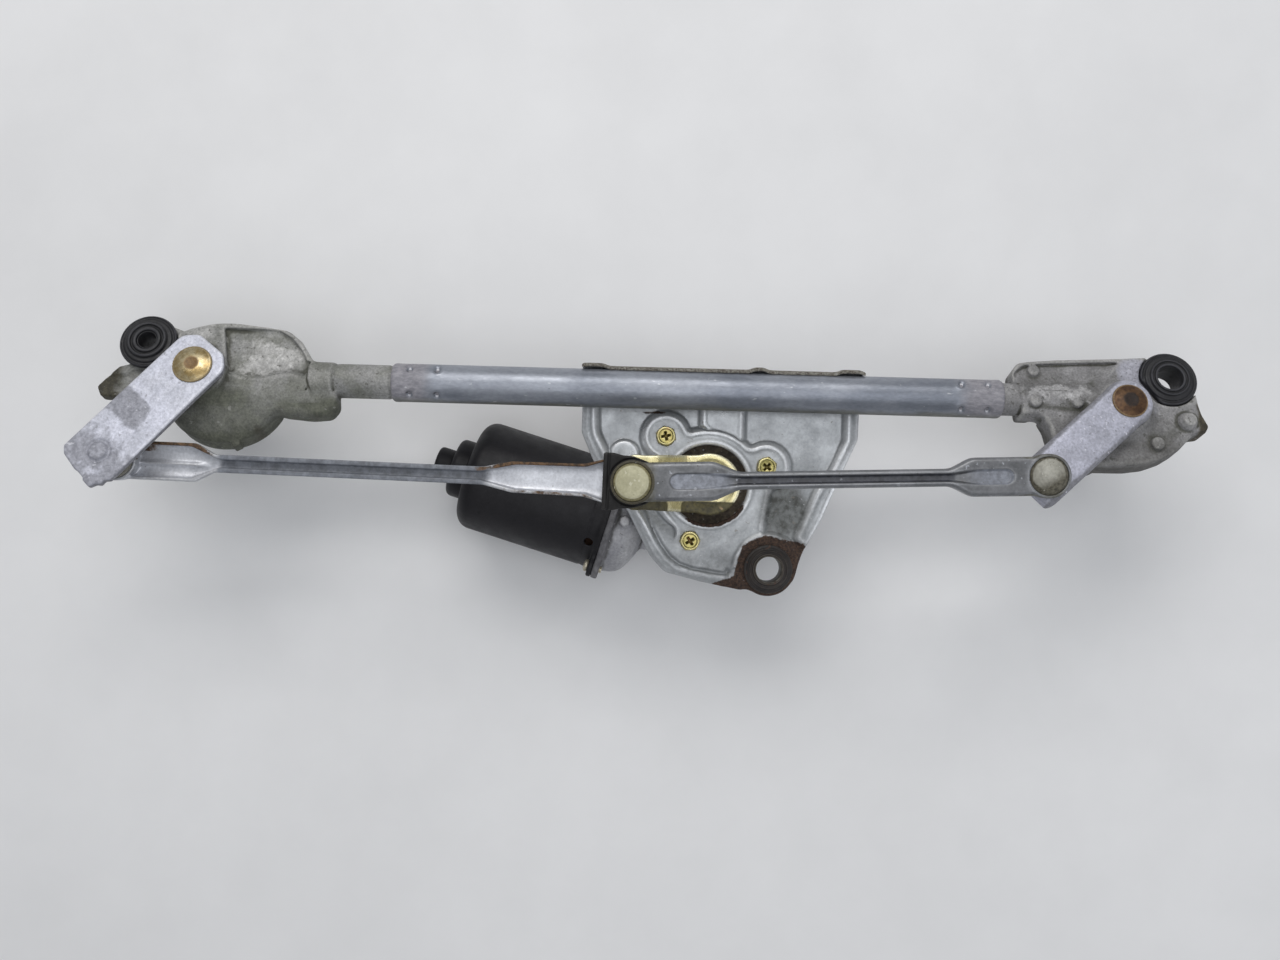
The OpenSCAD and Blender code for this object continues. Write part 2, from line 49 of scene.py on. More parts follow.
f4 = np.float32
rad = math.radians
scene = bpy.context.scene
record = frame["record"]
body_of = {n: b for b, ns in record["behaviour"]["bodies"].items() for n in ns}

# ------------------------------------------------------------------ frames
I3 = np.eye(3)


def rx(a):
    c, s = math.cos(a), math.sin(a)
    return np.array([[1, 0, 0], [0, c, -s], [0, s, c]])


def ry(a):
    c, s = math.cos(a), math.sin(a)
    return np.array([[c, 0, s], [0, 1, 0], [-s, 0, c]])


def rz(a):
    c, s = math.cos(a), math.sin(a)
    return np.array([[c, -s, 0], [s, c, 0], [0, 0, 1]])


class Frame:
    def __init__(self, t, R=I3):
        self.t, self.R = np.array(t, float), np.array(R, float)

    def at(self, t, R=I3):
        return Frame(self.R @ np.array(t, float) + self.t, self.R @ R)

    def out(self, p):
        return (np.asarray(p, float) @ self.R.T + self.t) * 0.001


W = Frame((-2.743, 41.179, 80.5))
H = W.at((0, 0, 0), rx(rad(-20)))
S = np.array([40.0, -53.5])
SCREWS = [(14.4, -26.1), (73.6, -42.5), (30.0, -86.7)]
LOW = (76.0, -102.0)
GRL, GRR = (-285.0, 18.8), (301.5, 12.7)
SP_L, SP_R = (-252.0, -1.0), (271.7, -7.5)


def along(p, q):
    d = np.array(q, float) - np.array(p, float)
    R = rz(math.atan2(d[1], d[0])) @ ry(-math.atan2(d[2], math.hypot(d[0], d[1])))
    return W.at(p, R), float(np.linalg.norm(d))


BALL_L = H.R @ np.array([-292.0, -52.0, 1.0])
BALL_R = H.R @ np.array([217.4, -57.4, 29.0])
LL, LEN_L = along((-4, -53.5, 25), BALL_L)
RL, LEN_R = along((-4, -53.5, 41), BALL_R)
SPL, SPR = H.at((*SP_L, 0)), H.at((*SP_R, 0))
LLV = SPL.at((0, 0, 0), rz(math.atan2(-51.0, -40.0)))
RLV = SPR.at((0, 0, 0), rz(math.atan2(-49.9, -54.3)))
ARM_L, ARM_R = math.hypot(51.0, 40.0), math.hypot(49.9, 54.3)
MA = rad(-16.4)
FOOT = S - 37.2 * np.array([-math.sin(MA), math.cos(MA)])
MO = W.at((FOOT[0], FOOT[1], -46.5), rz(MA))
EAR = (-31.0, 22.0)


# ------------------------------------------------------------------ distance fields
class Grid:
    def __init__(self, lo, hi, h=0.8):
        self.h = np.ones(3) * h
        self.lo = np.array(lo, float) - 2.5 * self.h
        self.n = np.ceil((np.array(hi, float) + 2.5 * self.h - self.lo) / self.h).astype(int) + 1
        a = [(self.lo[i] + self.h[i] * np.arange(self.n[i])).astype(f4) for i in range(3)]
        self.x, self.y, self.z = a[0][:, None, None], a[1][None, :, None], a[2][None, None, :]


class View:
    """The same grid seen in a frame moved by c and turned by a about Z."""

    def __init__(self, g, c, a):
        c = tuple(c) + (0,) * (3 - len(c))
        dx, dy = g.x - f4(c[0]), g.y - f4(c[1])
        k, s = f4(math.cos(a)), f4(math.sin(a))
        self.x, self.y, self.z = k * dx + s * dy, -s * dx + k * dy, g.z - f4(c[2])


class Points:
    def __init__(self, v):
        self.x, self.y, self.z = v[:, 0].astype(f4), v[:, 1].astype(f4), v[:, 2].astype(f4)


def ri(a, b, r):
    """Both, with a rounded edge."""
    if r <= 0:
        return np.maximum(a, b)
    r = f4(r)
    return np.minimum(np.maximum(a, b), -r) + np.sqrt(np.maximum(a + r, 0) ** 2 + np.maximum(b + r, 0) ** 2)


def ru(a, b, r):
    """Either, with a fillet."""
    r = f4(r)
    return np.maximum(np.minimum(a, b), r) - np.sqrt(np.maximum(r - a, 0) ** 2 + np.maximum(r - b, 0) ** 2)


def un(*fs):
    d = fs[0]
    for f in fs[1:]:
        d = np.minimum(d, f)
    return d


def cut(a, b, r=0.0):
    return ri(a, -b, r)


def between(v, a, b):
    return np.maximum(f4(a) - v, v - f4(b))


def circ(g, c, r):
    return np.hypot(g.x - f4(c[0]), g.y - f4(c[1])) - f4(r)


def cyl(g, r, z0, z1, c=(0, 0), e=0.6):
    return ri(circ(g, c, r), between(g.z, z0, z1), e)


def xcyl(g, r, x0, x1, c=(0, 0), e=0.6):
    return ri(np.hypot(g.y - f4(c[0]), g.z - f4(c[1])) - f4(r), between(g.x, x0, x1), e)


def cone(g, r0, r1, z0, z1, c=(0, 0), e=0.6):
    k = (r1 - r0) / (z1 - z0)
    side = (np.hypot(g.x - f4(c[0]), g.y - f4(c[1])) - f4(r0) - f4(k) * (g.z - f4(z0))) * f4(1 / math.sqrt(1 + k * k))
    return ri(side, between(g.z, z0, z1), e)


def box(g, lo, hi, e=0.6):
    q = [np.abs(p - f4((a + b) / 2)) - f4((b - a) / 2 - e) for p, a, b in zip((g.x, g.y, g.z), lo, hi)]
    return np.sqrt(sum(np.maximum(t, 0) ** 2 for t in q)) + np.minimum(np.maximum(np.maximum(q[0], q[1]), q[2]), 0) - f4(e)


def fillet(pts, r, n=5, closed=True):
    """A polygon with its corners rounded. A point may bring its own radius."""
    out, m = [], len(pts)
    for i in range(m):
        p = np.array(pts[i][:2], float)
        if not closed and i in (0, m - 1):
            out.append(tuple(p))
            continue
        a, b = np.array(pts[i - 1][:2], float) - p, np.array(pts[(i + 1) % m][:2], float) - p
        la, lb = np.linalg.norm(a), np.linalg.norm(b)
        a, b = a / la, b / lb
        half = math.acos(max(-1, min(1, float(a @ b)))) / 2
        rr = pts[i][2] if len(pts[i]) > 2 else r
        if half > 1.55 or rr <= 0:
            out.append(tuple(p))
            continue
        d = min(rr / math.tan(half), 0.48 * la, 0.48 * lb)
        for t in np.linspace(0, 1, n + 1):
            out.append(tuple((1 - t) ** 2 * (p + a * d) + 2 * t * (1 - t) * p + t * t * (p + b * d)))
    return out


def poly(g, pts):
    """Signed distance to a polygon in the XY plane."""
    x, y = g.x, g.y
    d, inside = None, False
    for (x0, y0), (x1, y1) in zip(pts, list(pts[1:]) + [pts[0]]):
        ex, ey = x1 - x0, y1 - y0
        l2 = ex * ex + ey * ey
        if l2 < 1e-9:
            continue
        px, py = x - f4(x0), y - f4(y0)
        t = np.clip((px * f4(ex) + py * f4(ey)) / f4(l2), 0, 1)
        q = (px - f4(ex) * t) ** 2 + (py - f4(ey) * t) ** 2
        d = q if d is None else np.minimum(d, q)
        if abs(ey) > 1e-9:
            hit = ((y >= y0) & (y < y1)) | ((y >= y1) & (y < y0))
            inside = inside ^ (hit & (px < py * f4(ex / ey)))
    return np.where(inside, -1, 1).astype(f4) * np.sqrt(d)


def line(g, pts):
    """Distance to a polyline in the XY plane."""
    d = None
    for (x0, y0), (x1, y1) in zip(pts[:-1], pts[1:]):
        ex, ey = x1 - x0, y1 - y0
        px, py = g.x - f4(x0), g.y - f4(y0)
        t = np.clip((px * f4(ex) + py * f4(ey)) / f4(ex * ex + ey * ey), 0, 1)
        q = (px - f4(ex) * t) ** 2 + (py - f4(ey) * t) ** 2
        d = q if d is None else np.minimum(d, q)
    return np.sqrt(d)


def prism(g, pts, z0, z1, e=0.6):
    return ri(poly(g, pts), between(g.z, z0, z1), e)


def step(d, w):
    """1 inside, 0 outside, smooth over a slope w wide."""
    t = np.clip(0.5 - d / f4(w), 0, 1)
    return t * t * (3 - 2 * t)


def ngon(n, af, a=0.0):
    r = af / 2 / math.cos(math.pi / n)
    return [(r * math.cos(a + 2 * math.pi * i / n), r * math.sin(a + 2 * math.pi * i / n)) for i in range(n)]


# ------------------------------------------------------------------ meshes
def sample(f, p):
    n = np.array(f.shape)
    i = np.clip(np.floor(p).astype(int), 0, n - 2)
    t = (p - i).astype(f4)
    flat, s1, s2 = f.ravel(), n[1] * n[2], n[2]
    b = i[:, 0] * s1 + i[:, 1] * s2 + i[:, 2]
    out = 0
    for a in (0, 1):
        for c in (0, 1):
            for e in (0, 1):
                w = (t[:, 0] if a else 1 - t[:, 0]) * (t[:, 1] if c else 1 - t[:, 1]) * (t[:, 2] if e else 1 - t[:, 2])
                out = out + w * flat[b + a * s1 + c * s2 + e]
    return out


def blur(f, r):
    for ax in range(3):
        c = np.cumsum(np.pad(f, [(r + 1, r) if i == ax else (0, 0) for i in range(3)], mode="edge"), axis=ax, dtype=np.float64)
        n = f.shape[ax]
        f = ((np.take(c, np.arange(2 * r + 1, 2 * r + 1 + n), ax) - np.take(c, np.arange(n), ax)) / (2 * r + 1)).astype(f4)
    return f


def nets(g, f, relax=2):
    """Quads on the surface where f is 0, with points drawn on to it, and how hollow or edged each point is."""
    f = np.array(np.broadcast_to(f, g.n), f4)
    for ax in range(3):
        for k in (0, -1):
            s = [slice(None)] * 3
            s[ax] = k
            f[tuple(s)] = np.maximum(f[tuple(s)], 0.5)
    s, n = f < 0, np.array(f.shape)
    c = np.zeros(n - 1, np.int8)
    for a in (0, 1):
        for b in (0, 1):
            for d in (0, 1):
                c += s[a : n[0] - 1 + a, b : n[1] - 1 + b, d : n[2] - 1 + d]
    act = (c > 0) & (c < 8)
    cells = np.argwhere(act)
    vid = np.full(act.shape, -1, np.int64)
    vid[act] = np.arange(len(cells))
    acc, cnt = np.zeros((len(cells), 3)), np.zeros(len(cells))
    corners = [(a, b, d) for a in (0, 1) for b in (0, 1) for d in (0, 1)]
    val = {k: f[cells[:, 0] + k[0], cells[:, 1] + k[1], cells[:, 2] + k[2]] for k in corners}
    for p in corners:
        for ax in range(3):
            if p[ax]:
                continue
            q = tuple(1 if i == ax else p[i] for i in range(3))
            m = (val[p] < 0) != (val[q] < 0)
            den = np.where(m, val[p] - val[q], 1)
            t = val[p] / den
            for i in range(3):
                acc[:, i] += np.where(m, p[i] + (t if i == ax else 0), 0)
            cnt += m
    v = cells + acc / cnt[:, None]
    quads = []
    for ax in range(3):
        u, w = (ax + 1) % 3, (ax + 2) % 3
        lo, hi = [slice(None)] * 3, [slice(None)] * 3
        lo[ax], hi[ax] = slice(0, -1), slice(1, None)
        sa, sb = s[tuple(lo)], s[tuple(hi)]
        e = np.argwhere(sa != sb)
        e = e[(e[:, u] > 0) & (e[:, w] > 0) & (e[:, u] < n[u] - 1) & (e[:, w] < n[w] - 1)]
        ins = sa[e[:, 0], e[:, 1], e[:, 2]]

        def cell(du, dw):
            k = e.copy()
            k[:, u] += du
            k[:, w] += dw
            return vid[k[:, 0], k[:, 1], k[:, 2]]

        q = np.stack([cell(-1, -1), cell(0, -1), cell(0, 0), cell(-1, 0)], 1)
        q[~ins] = q[~ins][:, ::-1]
        quads.append(q)
    q = np.concatenate(quads)
    ed = np.concatenate([q[:, [0, 1]], q[:, [1, 2]], q[:, [2, 3]], q[:, [3, 0]]])
    deg = np.bincount(ed[:, 0], minlength=len(v)).astype(float)
    for k in range(relax):
        avg = np.stack([np.bincount(ed[:, 0], v[ed[:, 1], i], len(v)) for i in range(3)], 1) / deg[:, None]
        v = v + 0.5 * (avg - v)
        for j in range(2):
            d = sample(f, v)
            gr = np.stack([(sample(f, v + dv) - sample(f, v - dv)) / g.h[i] for i, dv in enumerate(0.5 * I3)], 1)
            gl = np.maximum((gr * gr).sum(1), 0.05)
            v = v - np.clip((d / gl)[:, None] * gr / g.h, -0.4, 0.4)
    cav = sample(blur(f, 3) - f, v)
    return g.lo + v * g.h, q, cav


def make(name, v, faces):
    me = bpy.data.meshes.new(name)
    me.from_pydata(np.asarray(v).tolist(), [], faces.tolist() if isinstance(faces, np.ndarray) else faces)
    me.polygons.foreach_set("use_smooth", np.ones(len(me.polygons), bool))
    ob = bpy.data.objects.new(name, me)
    scene.collection.objects.link(ob)
    return ob


def mark(ob, name, values):
    ob.data.attributes.new(name, "FLOAT", "POINT").data.foreach_set("value", np.asarray(values, f4))


def settle(ob):
    """Applies the modifiers."""
    me = bpy.data.meshes.new_from_object(ob.evaluated_get(bpy.context.evaluated_depsgraph_get()))
    ob.modifiers.clear()
    old = ob.data
    ob.data = me
    bpy.data.meshes.remove(old)


def add(ob, mat, reps):
    ob.data.materials.append(mat)
    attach(ob, body_of[reps[0]])
    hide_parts(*reps)
    return ob


def solid(name, g, f, fr, mat, reps, keep=1.0, masks=None):
    v, q, cav = nets(g, f)
    ob = make(name, fr.out(v), q)
    mark(ob, "cav", cav)
    for k, fn in (masks or {}).items():
        mark(ob, k, fn(v))
    if keep < 1:
        ob.modifiers.new("thin", "DECIMATE").ratio = keep
        bpy.context.view_layer.update()
        settle(ob)
        ob.data.polygons.foreach_set("use_smooth", np.ones(len(ob.data.polygons), bool))
    return add(ob, mat, reps)


def lathe(name, rows, fr, mat, reps, n=72, mod=None, loop=False, masks=None):
    """Turns a profile of (r, z), from the top down on the outside, about the frame's Z."""
    th = np.linspace(0, 2 * math.pi, n, endpoint=False)
    v, ring, faces = [], [], []
    for i, (r, z) in enumerate(rows):
        if r < 1e-6:
            ring.append([len(v)])
            v.append((0, 0, z))
        else:
            rr = r + (mod(i, r, z, th) if mod else 0 * th)
            ring.append(list(range(len(v), len(v) + n)))
            v += list(zip(rr * np.cos(th), rr * np.sin(th), 0 * th + z))
    for a, b in zip(ring, ring[1:] + ring[:1] if loop else ring[1:]):
        for j in range(n):
            k = (j + 1) % n
            if len(a) == 1 and len(b) == 1:
                break
            if len(a) == 1:
                faces.append((a[0], b[j], b[k]))
            elif len(b) == 1:
                faces.append((a[j], b[0], a[k]))
            else:
                faces.append((a[j], b[j], b[k], a[k]))
    v = np.array(v)
    ob = make(name, fr.out(v), faces)
    for k, fn in (masks or {}).items():
        mark(ob, k, fn(v))
    return add(ob, mat, reps)


def sharp(ob, deg=35):
    ob.data.set_sharp_from_angle(angle=rad(deg))
    return ob


# ------------------------------------------------------------------ materials
def C(r, g, b):
    return tuple(c / 12.92 if c <= 0.04045 else ((c + 0.055) / 1.055) ** 2.4 for c in (r / 255, g / 255, b / 255)) + (1.0,)


class Mat:
    """A node material on object coordinates in millimetres."""

    def __init__(self, name, stretch=(1, 1, 1)):
        self.m = bpy.data.materials.new(name)
        self.m.use_nodes = True
        self.t = self.m.node_tree
        self.t.nodes.clear()
        out = self.t.nodes.new("ShaderNodeOutputMaterial")
        self.b = self.t.nodes.new("ShaderNodeBsdfPrincipled")
        self.t.links.new(self.b.outputs[0], out.inputs[0])
        tc = self.t.nodes.new("ShaderNodeTexCoord")
        mp = self.t.nodes.new("ShaderNodeMapping")
        mp.inputs["Scale"].default_value = [1000 * s for s in stretch]
        self.t.links.new(tc.outputs["Object"], mp.inputs[0])
        self.co = mp.outputs[0]
        self.seed = 0.0

    def put(self, socket, v):
        if hasattr(v, "is_linked"):
            self.t.links.new(v, socket)
        else:
            socket.default_value = v

    def noise(self, scale, detail=4.0, rough=0.55, dist=0.0):
        n = self.t.nodes.new("ShaderNodeTexNoise")
        n.noise_dimensions = "4D"
        self.seed += 3.7
        n.inputs["W"].default_value = self.seed
        n.inputs["Scale"].default_value = scale
        n.inputs["Detail"].default_value = detail
        n.inputs["Roughness"].default_value = rough
        n.inputs["Distortion"].default_value = dist
        self.t.links.new(self.co, n.inputs["Vector"])
        return n.outputs[0]

    def cells(self, scale):
        n = self.t.nodes.new("ShaderNodeTexVoronoi")
        n.inputs["Scale"].default_value = scale
        self.t.links.new(self.co, n.inputs["Vector"])
        return n.outputs["Distance"]

    def attr(self, name):
        n = self.t.nodes.new("ShaderNodeAttribute")
        n.attribute_name = name
        return n.outputs["Fac"]

    def rng(self, v, a, b, c=0.0, d=1.0):
        n = self.t.nodes.new("ShaderNodeMapRange")
        n.interpolation_type = "SMOOTHSTEP"
        self.put(n.inputs["Value"], v)
        for k, x in zip(("From Min", "From Max", "To Min", "To Max"), (a, b, c, d)):
            n.inputs[k].default_value = x
        return n.outputs[0]

    def op(self, o, a, b=0.0, clamp=False):
        n = self.t.nodes.new("ShaderNodeMath")
        n.operation = o
        n.use_clamp = clamp
        self.put(n.inputs[0], a)
        self.put(n.inputs[1], b)
        return n.outputs[0]

    def mix(self, f, a, b, blend="MIX"):
        n = self.t.nodes.new("ShaderNodeMix")
        n.data_type = "RGBA"
        n.blend_type = blend
        self.put(n.inputs["Factor"], f)
        self.put(n.inputs[6], a)
        self.put(n.inputs[7], b)
        return n.outputs[2]

    def bump(self, height, strength, mm):
        n = self.t.nodes.new("ShaderNodeBump")
        n.inputs["Strength"].default_value = strength
        n.inputs["Distance"].default_value = mm / 1000
        self.put(n.inputs["Height"], height)
        return n.outputs[0]


def finish(name, a, b, scale=0.05, contrast=(0.38, 0.62), metallic=0.0, rough=(0.4, 0.6), speck=None, grime_and_shade=None, edge=None,
           masks=(), bumps=((0.9, 0.12, 0.5),), stretch=(1, 1, 1), tone=0.16, grain=0.7, specular=0.5, stain=0.0):
    """A worn surface: two tones, specks, soiling and painted occlusion shade in hollows, bare edges, masks, and a grain
    in relief.
    speck = (colour, scale, threshold, amount); grime and edge = (colour, from, to, amount);
    a mask = (point attribute, colour, colour, noise scale, wander, from, to, roughness)."""
    k = Mat(name, stretch)
    col = k.mix(k.rng(k.noise(scale, 6, 0.6), *contrast), a, b)
    fine = k.noise(grain, 3, 0.6)
    ro = k.rng(k.noise(scale * 3, 5, 0.6), 0.3, 0.7, *rough)
    me = None
    if edge:
        f = k.rng(k.op("ADD", k.attr("cav"), k.op("MULTIPLY", k.op("SUBTRACT", k.noise(0.35, 4), 0.5), 0.25)), edge[1], edge[2], 0, edge[3])
        col = k.mix(f, col, edge[0])
    # darker in hollows from the concavity: soiling, and painted shade where light is blocked
    if grime_and_shade:
        f = k.rng(k.op("SUBTRACT", k.op("MULTIPLY", k.op("SUBTRACT", k.noise(0.16, 5), 0.5), 0.5), k.attr("cav")), grime_and_shade[1], grime_and_shade[2], 0, grime_and_shade[3])
        col = k.mix(f, col, grime_and_shade[0])
        ro = k.op("ADD", ro, k.op("MULTIPLY", f, 0.15), True)
    for name_, c0, c1, sc, wander, lo, hi, mr in masks:
        n = k.noise(sc, 6, 0.65)
        f = k.rng(k.op("ADD", k.attr(name_), k.op("MULTIPLY", k.op("SUBTRACT", n, 0.5), wander)), lo, hi)
        col = k.mix(f, col, k.mix(k.rng(k.noise(sc * 2.7, 5, 0.65), 0.35, 0.65), c0, c1))
        ro = k.op("ADD", k.op("MULTIPLY", ro, k.op("SUBTRACT", 1.0, f)), k.op("MULTIPLY", f, mr))
        if metallic:
            left = k.op("SUBTRACT", 1.0, f)
            me = k.op("MULTIPLY", left, metallic if me is None else me)
    col = k.mix(1.0, col, k.mix(k.rng(fine, 0.25, 0.75), (1 - tone,) * 3 + (1,), (1 + tone * 0.6,) * 3 + (1,)), "MULTIPLY")
    if stain:
        col = k.mix(1.0, col, k.mix(k.rng(k.noise(0.05, 5, 0.6), 0.3, 0.7), (1 - stain,) * 3 + (1,), (1 + stain * 0.5,) * 3 + (1,)), "MULTIPLY")
    if speck:
        for sp in speck if isinstance(speck, list) else [speck]:
            f = k.rng(k.noise(sp[1], 2, 0.5), sp[2], sp[2] + 0.06, 0, sp[3])
            col = k.mix(f, col, sp[0])
    k.t.links.new(col, k.b.inputs["Base Color"])
    k.t.links.new(ro, k.b.inputs["Roughness"])
    if me is None:
        k.b.inputs["Metallic"].default_value = metallic
    else:
        k.t.links.new(me, k.b.inputs["Metallic"])
    k.b.inputs["Specular IOR Level"].default_value = specular
    h = None
    for sc, mm, st in bumps:
        x = k.op("MULTIPLY", k.noise(sc, 3, 0.6), mm)
        h = x if h is None else k.op("ADD", h, x)
    if h is not None:
        k.t.links.new(k.bump(h, bumps[0][2], 1.0), k.b.inputs["Normal"])
    return k.m


RUST0, RUST1 = C(40, 31, 27), C(84, 64, 52)
MT = {}
# the tube's two flank masks at the dents are a painted highlight and a painted shade
MT["tube"] = finish("galvanised_tube", C(126, 131, 141), C(154, 158, 167), 0.035, metallic=0.66, rough=(0.36, 0.5), stretch=(0.45, 1, 1),
                    speck=[(C(74, 74, 76), 0.32, 0.71, 0.8), (C(206, 208, 212), 0.5, 0.68, 0.55)], edge=(C(182, 184, 188), 0.2, 0.7, 0.7),
                    masks=(("end", C(124, 123, 130), C(150, 148, 154), 0.2, 0.5, 0.35, 0.9, 0.5),
                           ("under", C(100, 102, 100), C(120, 120, 114), 0.08, 0.8, 0.55, 1.0, 0.6), ("dim", C(78, 77, 82), C(96, 95, 100), 0.3, 0.3, 0.35, 0.85, 0.5), ("lit", C(222, 222, 226), C(204, 204, 209), 0.4, 0.3, 0.4, 0.8, 0.4)), bumps=((1.1, 0.10, 0.5), (0.22, 0.25, 0.5)), tone=0.13)
CAST = dict(metallic=0.2, rough=(0.5, 0.68), edge=(C(176, 175, 172), 0.15, 0.75, 0.6), grime_and_shade=(C(74, 74, 64), 0.08, 0.55, 0.85),
            bumps=((1.5, 0.2, 0.7), (0.4, 0.45, 0.7)), tone=0.3, grain=0.8, stain=0.16,
            speck=[(C(78, 78, 72), 0.42, 0.63, 0.65), (C(196, 195, 192), 0.28, 0.66, 0.22), (C(66, 65, 58), 0.9, 0.68, 0.6)])
MT["cast_l"] = finish("cast_housing_left", C(142, 142, 141), C(122, 123, 116), 0.06, masks=(
    # painted shade: the low mask darkens the lower faces and paints the lever's shadow
    ("low", C(78, 80, 70), C(98, 100, 88), 0.07, 0.6, 0.25, 0.95, 0.66),
    ("lime", C(202, 201, 199), C(168, 167, 165), 0.11, 1.9, 0.5, 1.0, 0.72),
    ("olive", C(52, 49, 40), C(78, 74, 60), 0.14, 0.6, 0.35, 0.8, 0.72)), **CAST)
MT["cast_r"] = finish("cast_housing_right", C(148, 147, 148), C(122, 121, 121), 0.07, masks=(
    ("lav", C(150, 150, 159), C(168, 168, 178), 0.12, 0.9, 0.4, 0.9, 0.6),
    # painted shade: the low mask darkens the lower faces and the lower edge
    ("low", C(72, 71, 68), C(92, 90, 87), 0.08, 0.7, 0.3, 1.0, 0.66),
    ("lime", C(184, 183, 184), C(156, 155, 155), 0.18, 1.6, 0.68, 0.9, 0.7),
    ("olive", C(50, 46, 36), C(78, 71, 56), 0.16, 0.6, 0.35, 0.8, 0.74)), **CAST)
# on the plate the pale edge tone is worn edges and painted highlights along the bead crests
MT["plate"] = finish("stamped_plate", C(152, 155, 158), C(170, 173, 176), 0.04, metallic=0.55, rough=(0.27, 0.4), edge=(C(222, 224, 227), 0.14, 0.5, 0.75), stain=0.1,
                     grime_and_shade=(C(104, 106, 107), 0.06, 0.5, 0.6), speck=[(C(112, 106, 98), 0.4, 0.69, 0.6), (C(206, 207, 210), 0.6, 0.69, 0.5)],
                     # the first of these masks is painted shade towards the bottom and in the pocket, with soiling
                     masks=(("soot_and_painted_shade", C(58, 59, 55), C(112, 115, 115), 0.07, 0.55, 0.2, 1.1, 0.5), ("rust", RUST0, RUST1, 0.34, 0.85, 0.4, 0.6, 0.86),
                            ("fleck", C(58, 46, 36), C(150, 148, 140), 0.55, 1.3, 0.55, 0.75, 0.8)),
                     bumps=((1.4, 0.08, 0.5), (0.15, 0.25, 0.5)), tone=0.13)
MT["lever_l"] = finish("left_lever_zinc", C(206, 208, 221), C(190, 192, 203), 0.07, metallic=0.3, rough=(0.4, 0.56), edge=(C(218, 219, 226), 0.2, 0.6, 0.5),
                       grime_and_shade=(C(112, 112, 112), 0.1, 0.6, 0.6), speck=[(C(134, 134, 140), 0.4, 0.64, 0.55), (C(226, 227, 234), 0.3, 0.66, 0.5), (C(104, 103, 104), 1.0, 0.7, 0.6)],
                       # painted shade: the side mask darkens the lever's side walls
                       masks=(("grey", C(136, 137, 146), C(166, 167, 177), 0.13, 1.8, 0.4, 0.85, 0.52), ("side", C(118, 118, 124), C(146, 146, 153), 0.2, 0.5, 0.4, 0.8, 0.6)), bumps=((1.0, 0.16, 0.6), (0.3, 0.35, 0.6)), tone=0.22, stain=0.1)
MT["lever_r"] = finish("right_lever_zinc", C(190, 191, 205), C(172, 173, 185), 0.08, metallic=0.35, rough=(0.4, 0.58), edge=(C(204, 205, 214), 0.2, 0.6, 0.4),
                       grime_and_shade=(C(104, 104, 102), 0.05, 0.5, 0.6), speck=[(C(124, 124, 128), 0.45, 0.65, 0.65), (C(222, 222, 232), 0.36, 0.65, 0.65), (C(100, 99, 98), 1.0, 0.7, 0.6)],
                       masks=(("grey", C(122, 122, 128), C(142, 142, 150), 0.14, 0.9, 0.4, 0.8, 0.55),), bumps=((1.2, 0.2, 0.6), (0.3, 0.4, 0.6)), tone=0.24, stain=0.12)
# the right rod's mask near the caps is soiling and painted shade
MT["link_r"] = finish("right_rod_zinc", C(94, 95, 97), C(118, 119, 122), 0.08, stain=0.14, metallic=0.66, rough=(0.32, 0.48), edge=(C(166, 168, 172), 0.2, 0.6, 0.4),
                      grime_and_shade=(C(52, 52, 54), 0.06, 0.5, 0.85), speck=[(C(56, 51, 44), 0.42, 0.69, 0.75), (C(178, 181, 188), 0.35, 0.66, 0.5)],
                      masks=(("panel", C(114, 117, 125), C(142, 146, 156), 0.1, 0.7, 0.3, 1.0, 0.4), ("dirt_and_shade", C(82, 81, 74), C(108, 107, 100), 0.15, 0.9, 0.45, 0.85, 0.58), ("olive", C(52, 48, 36), C(82, 76, 56), 0.4, 0.5, 0.4, 0.7, 0.6), ("groove", C(50, 51, 56), C(74, 76, 84), 0.12, 0.4, 0.4, 0.7, 0.4)),
                      bumps=((1.2, 0.08, 0.5), (0.25, 0.2, 0.5)), tone=0.14)
MT["link_l"] = finish("left_rod_zinc", C(206, 208, 214), C(186, 188, 194), 0.05, metallic=0.5, rough=(0.34, 0.5), edge=(C(158, 158, 158), 0.15, 0.5, 0.4),
                      grime_and_shade=(C(64, 62, 60), 0.12, 0.6, 0.75), speck=[(C(80, 76, 70), 0.5, 0.7, 0.65)],
                      masks=(("dull", C(128, 132, 140), C(100, 103, 110), 0.08, 0.5, 0.35, 0.8, 0.45),
                             ("rust", C(60, 48, 38), C(112, 86, 62), 0.22, 1.0, 0.5, 0.75, 0.82)), bumps=((1.1, 0.07, 0.5), (0.25, 0.15, 0.5)))
MT["gold"] = finish("yellow_zinc", C(180, 164, 106), C(150, 146, 90), 0.09, contrast=(0.3, 0.7), metallic=0.85, rough=(0.18, 0.34), edge=(C(232, 222, 178), 0.15, 0.5, 0.5),
                    grime_and_shade=(C(64, 56, 34), 0.02, 0.4, 0.85), speck=[(C(88, 74, 46), 0.6, 0.67, 0.6), (C(200, 162, 124), 0.2, 0.62, 0.5)], bumps=((1.5, 0.05, 0.5),), tone=0.12)
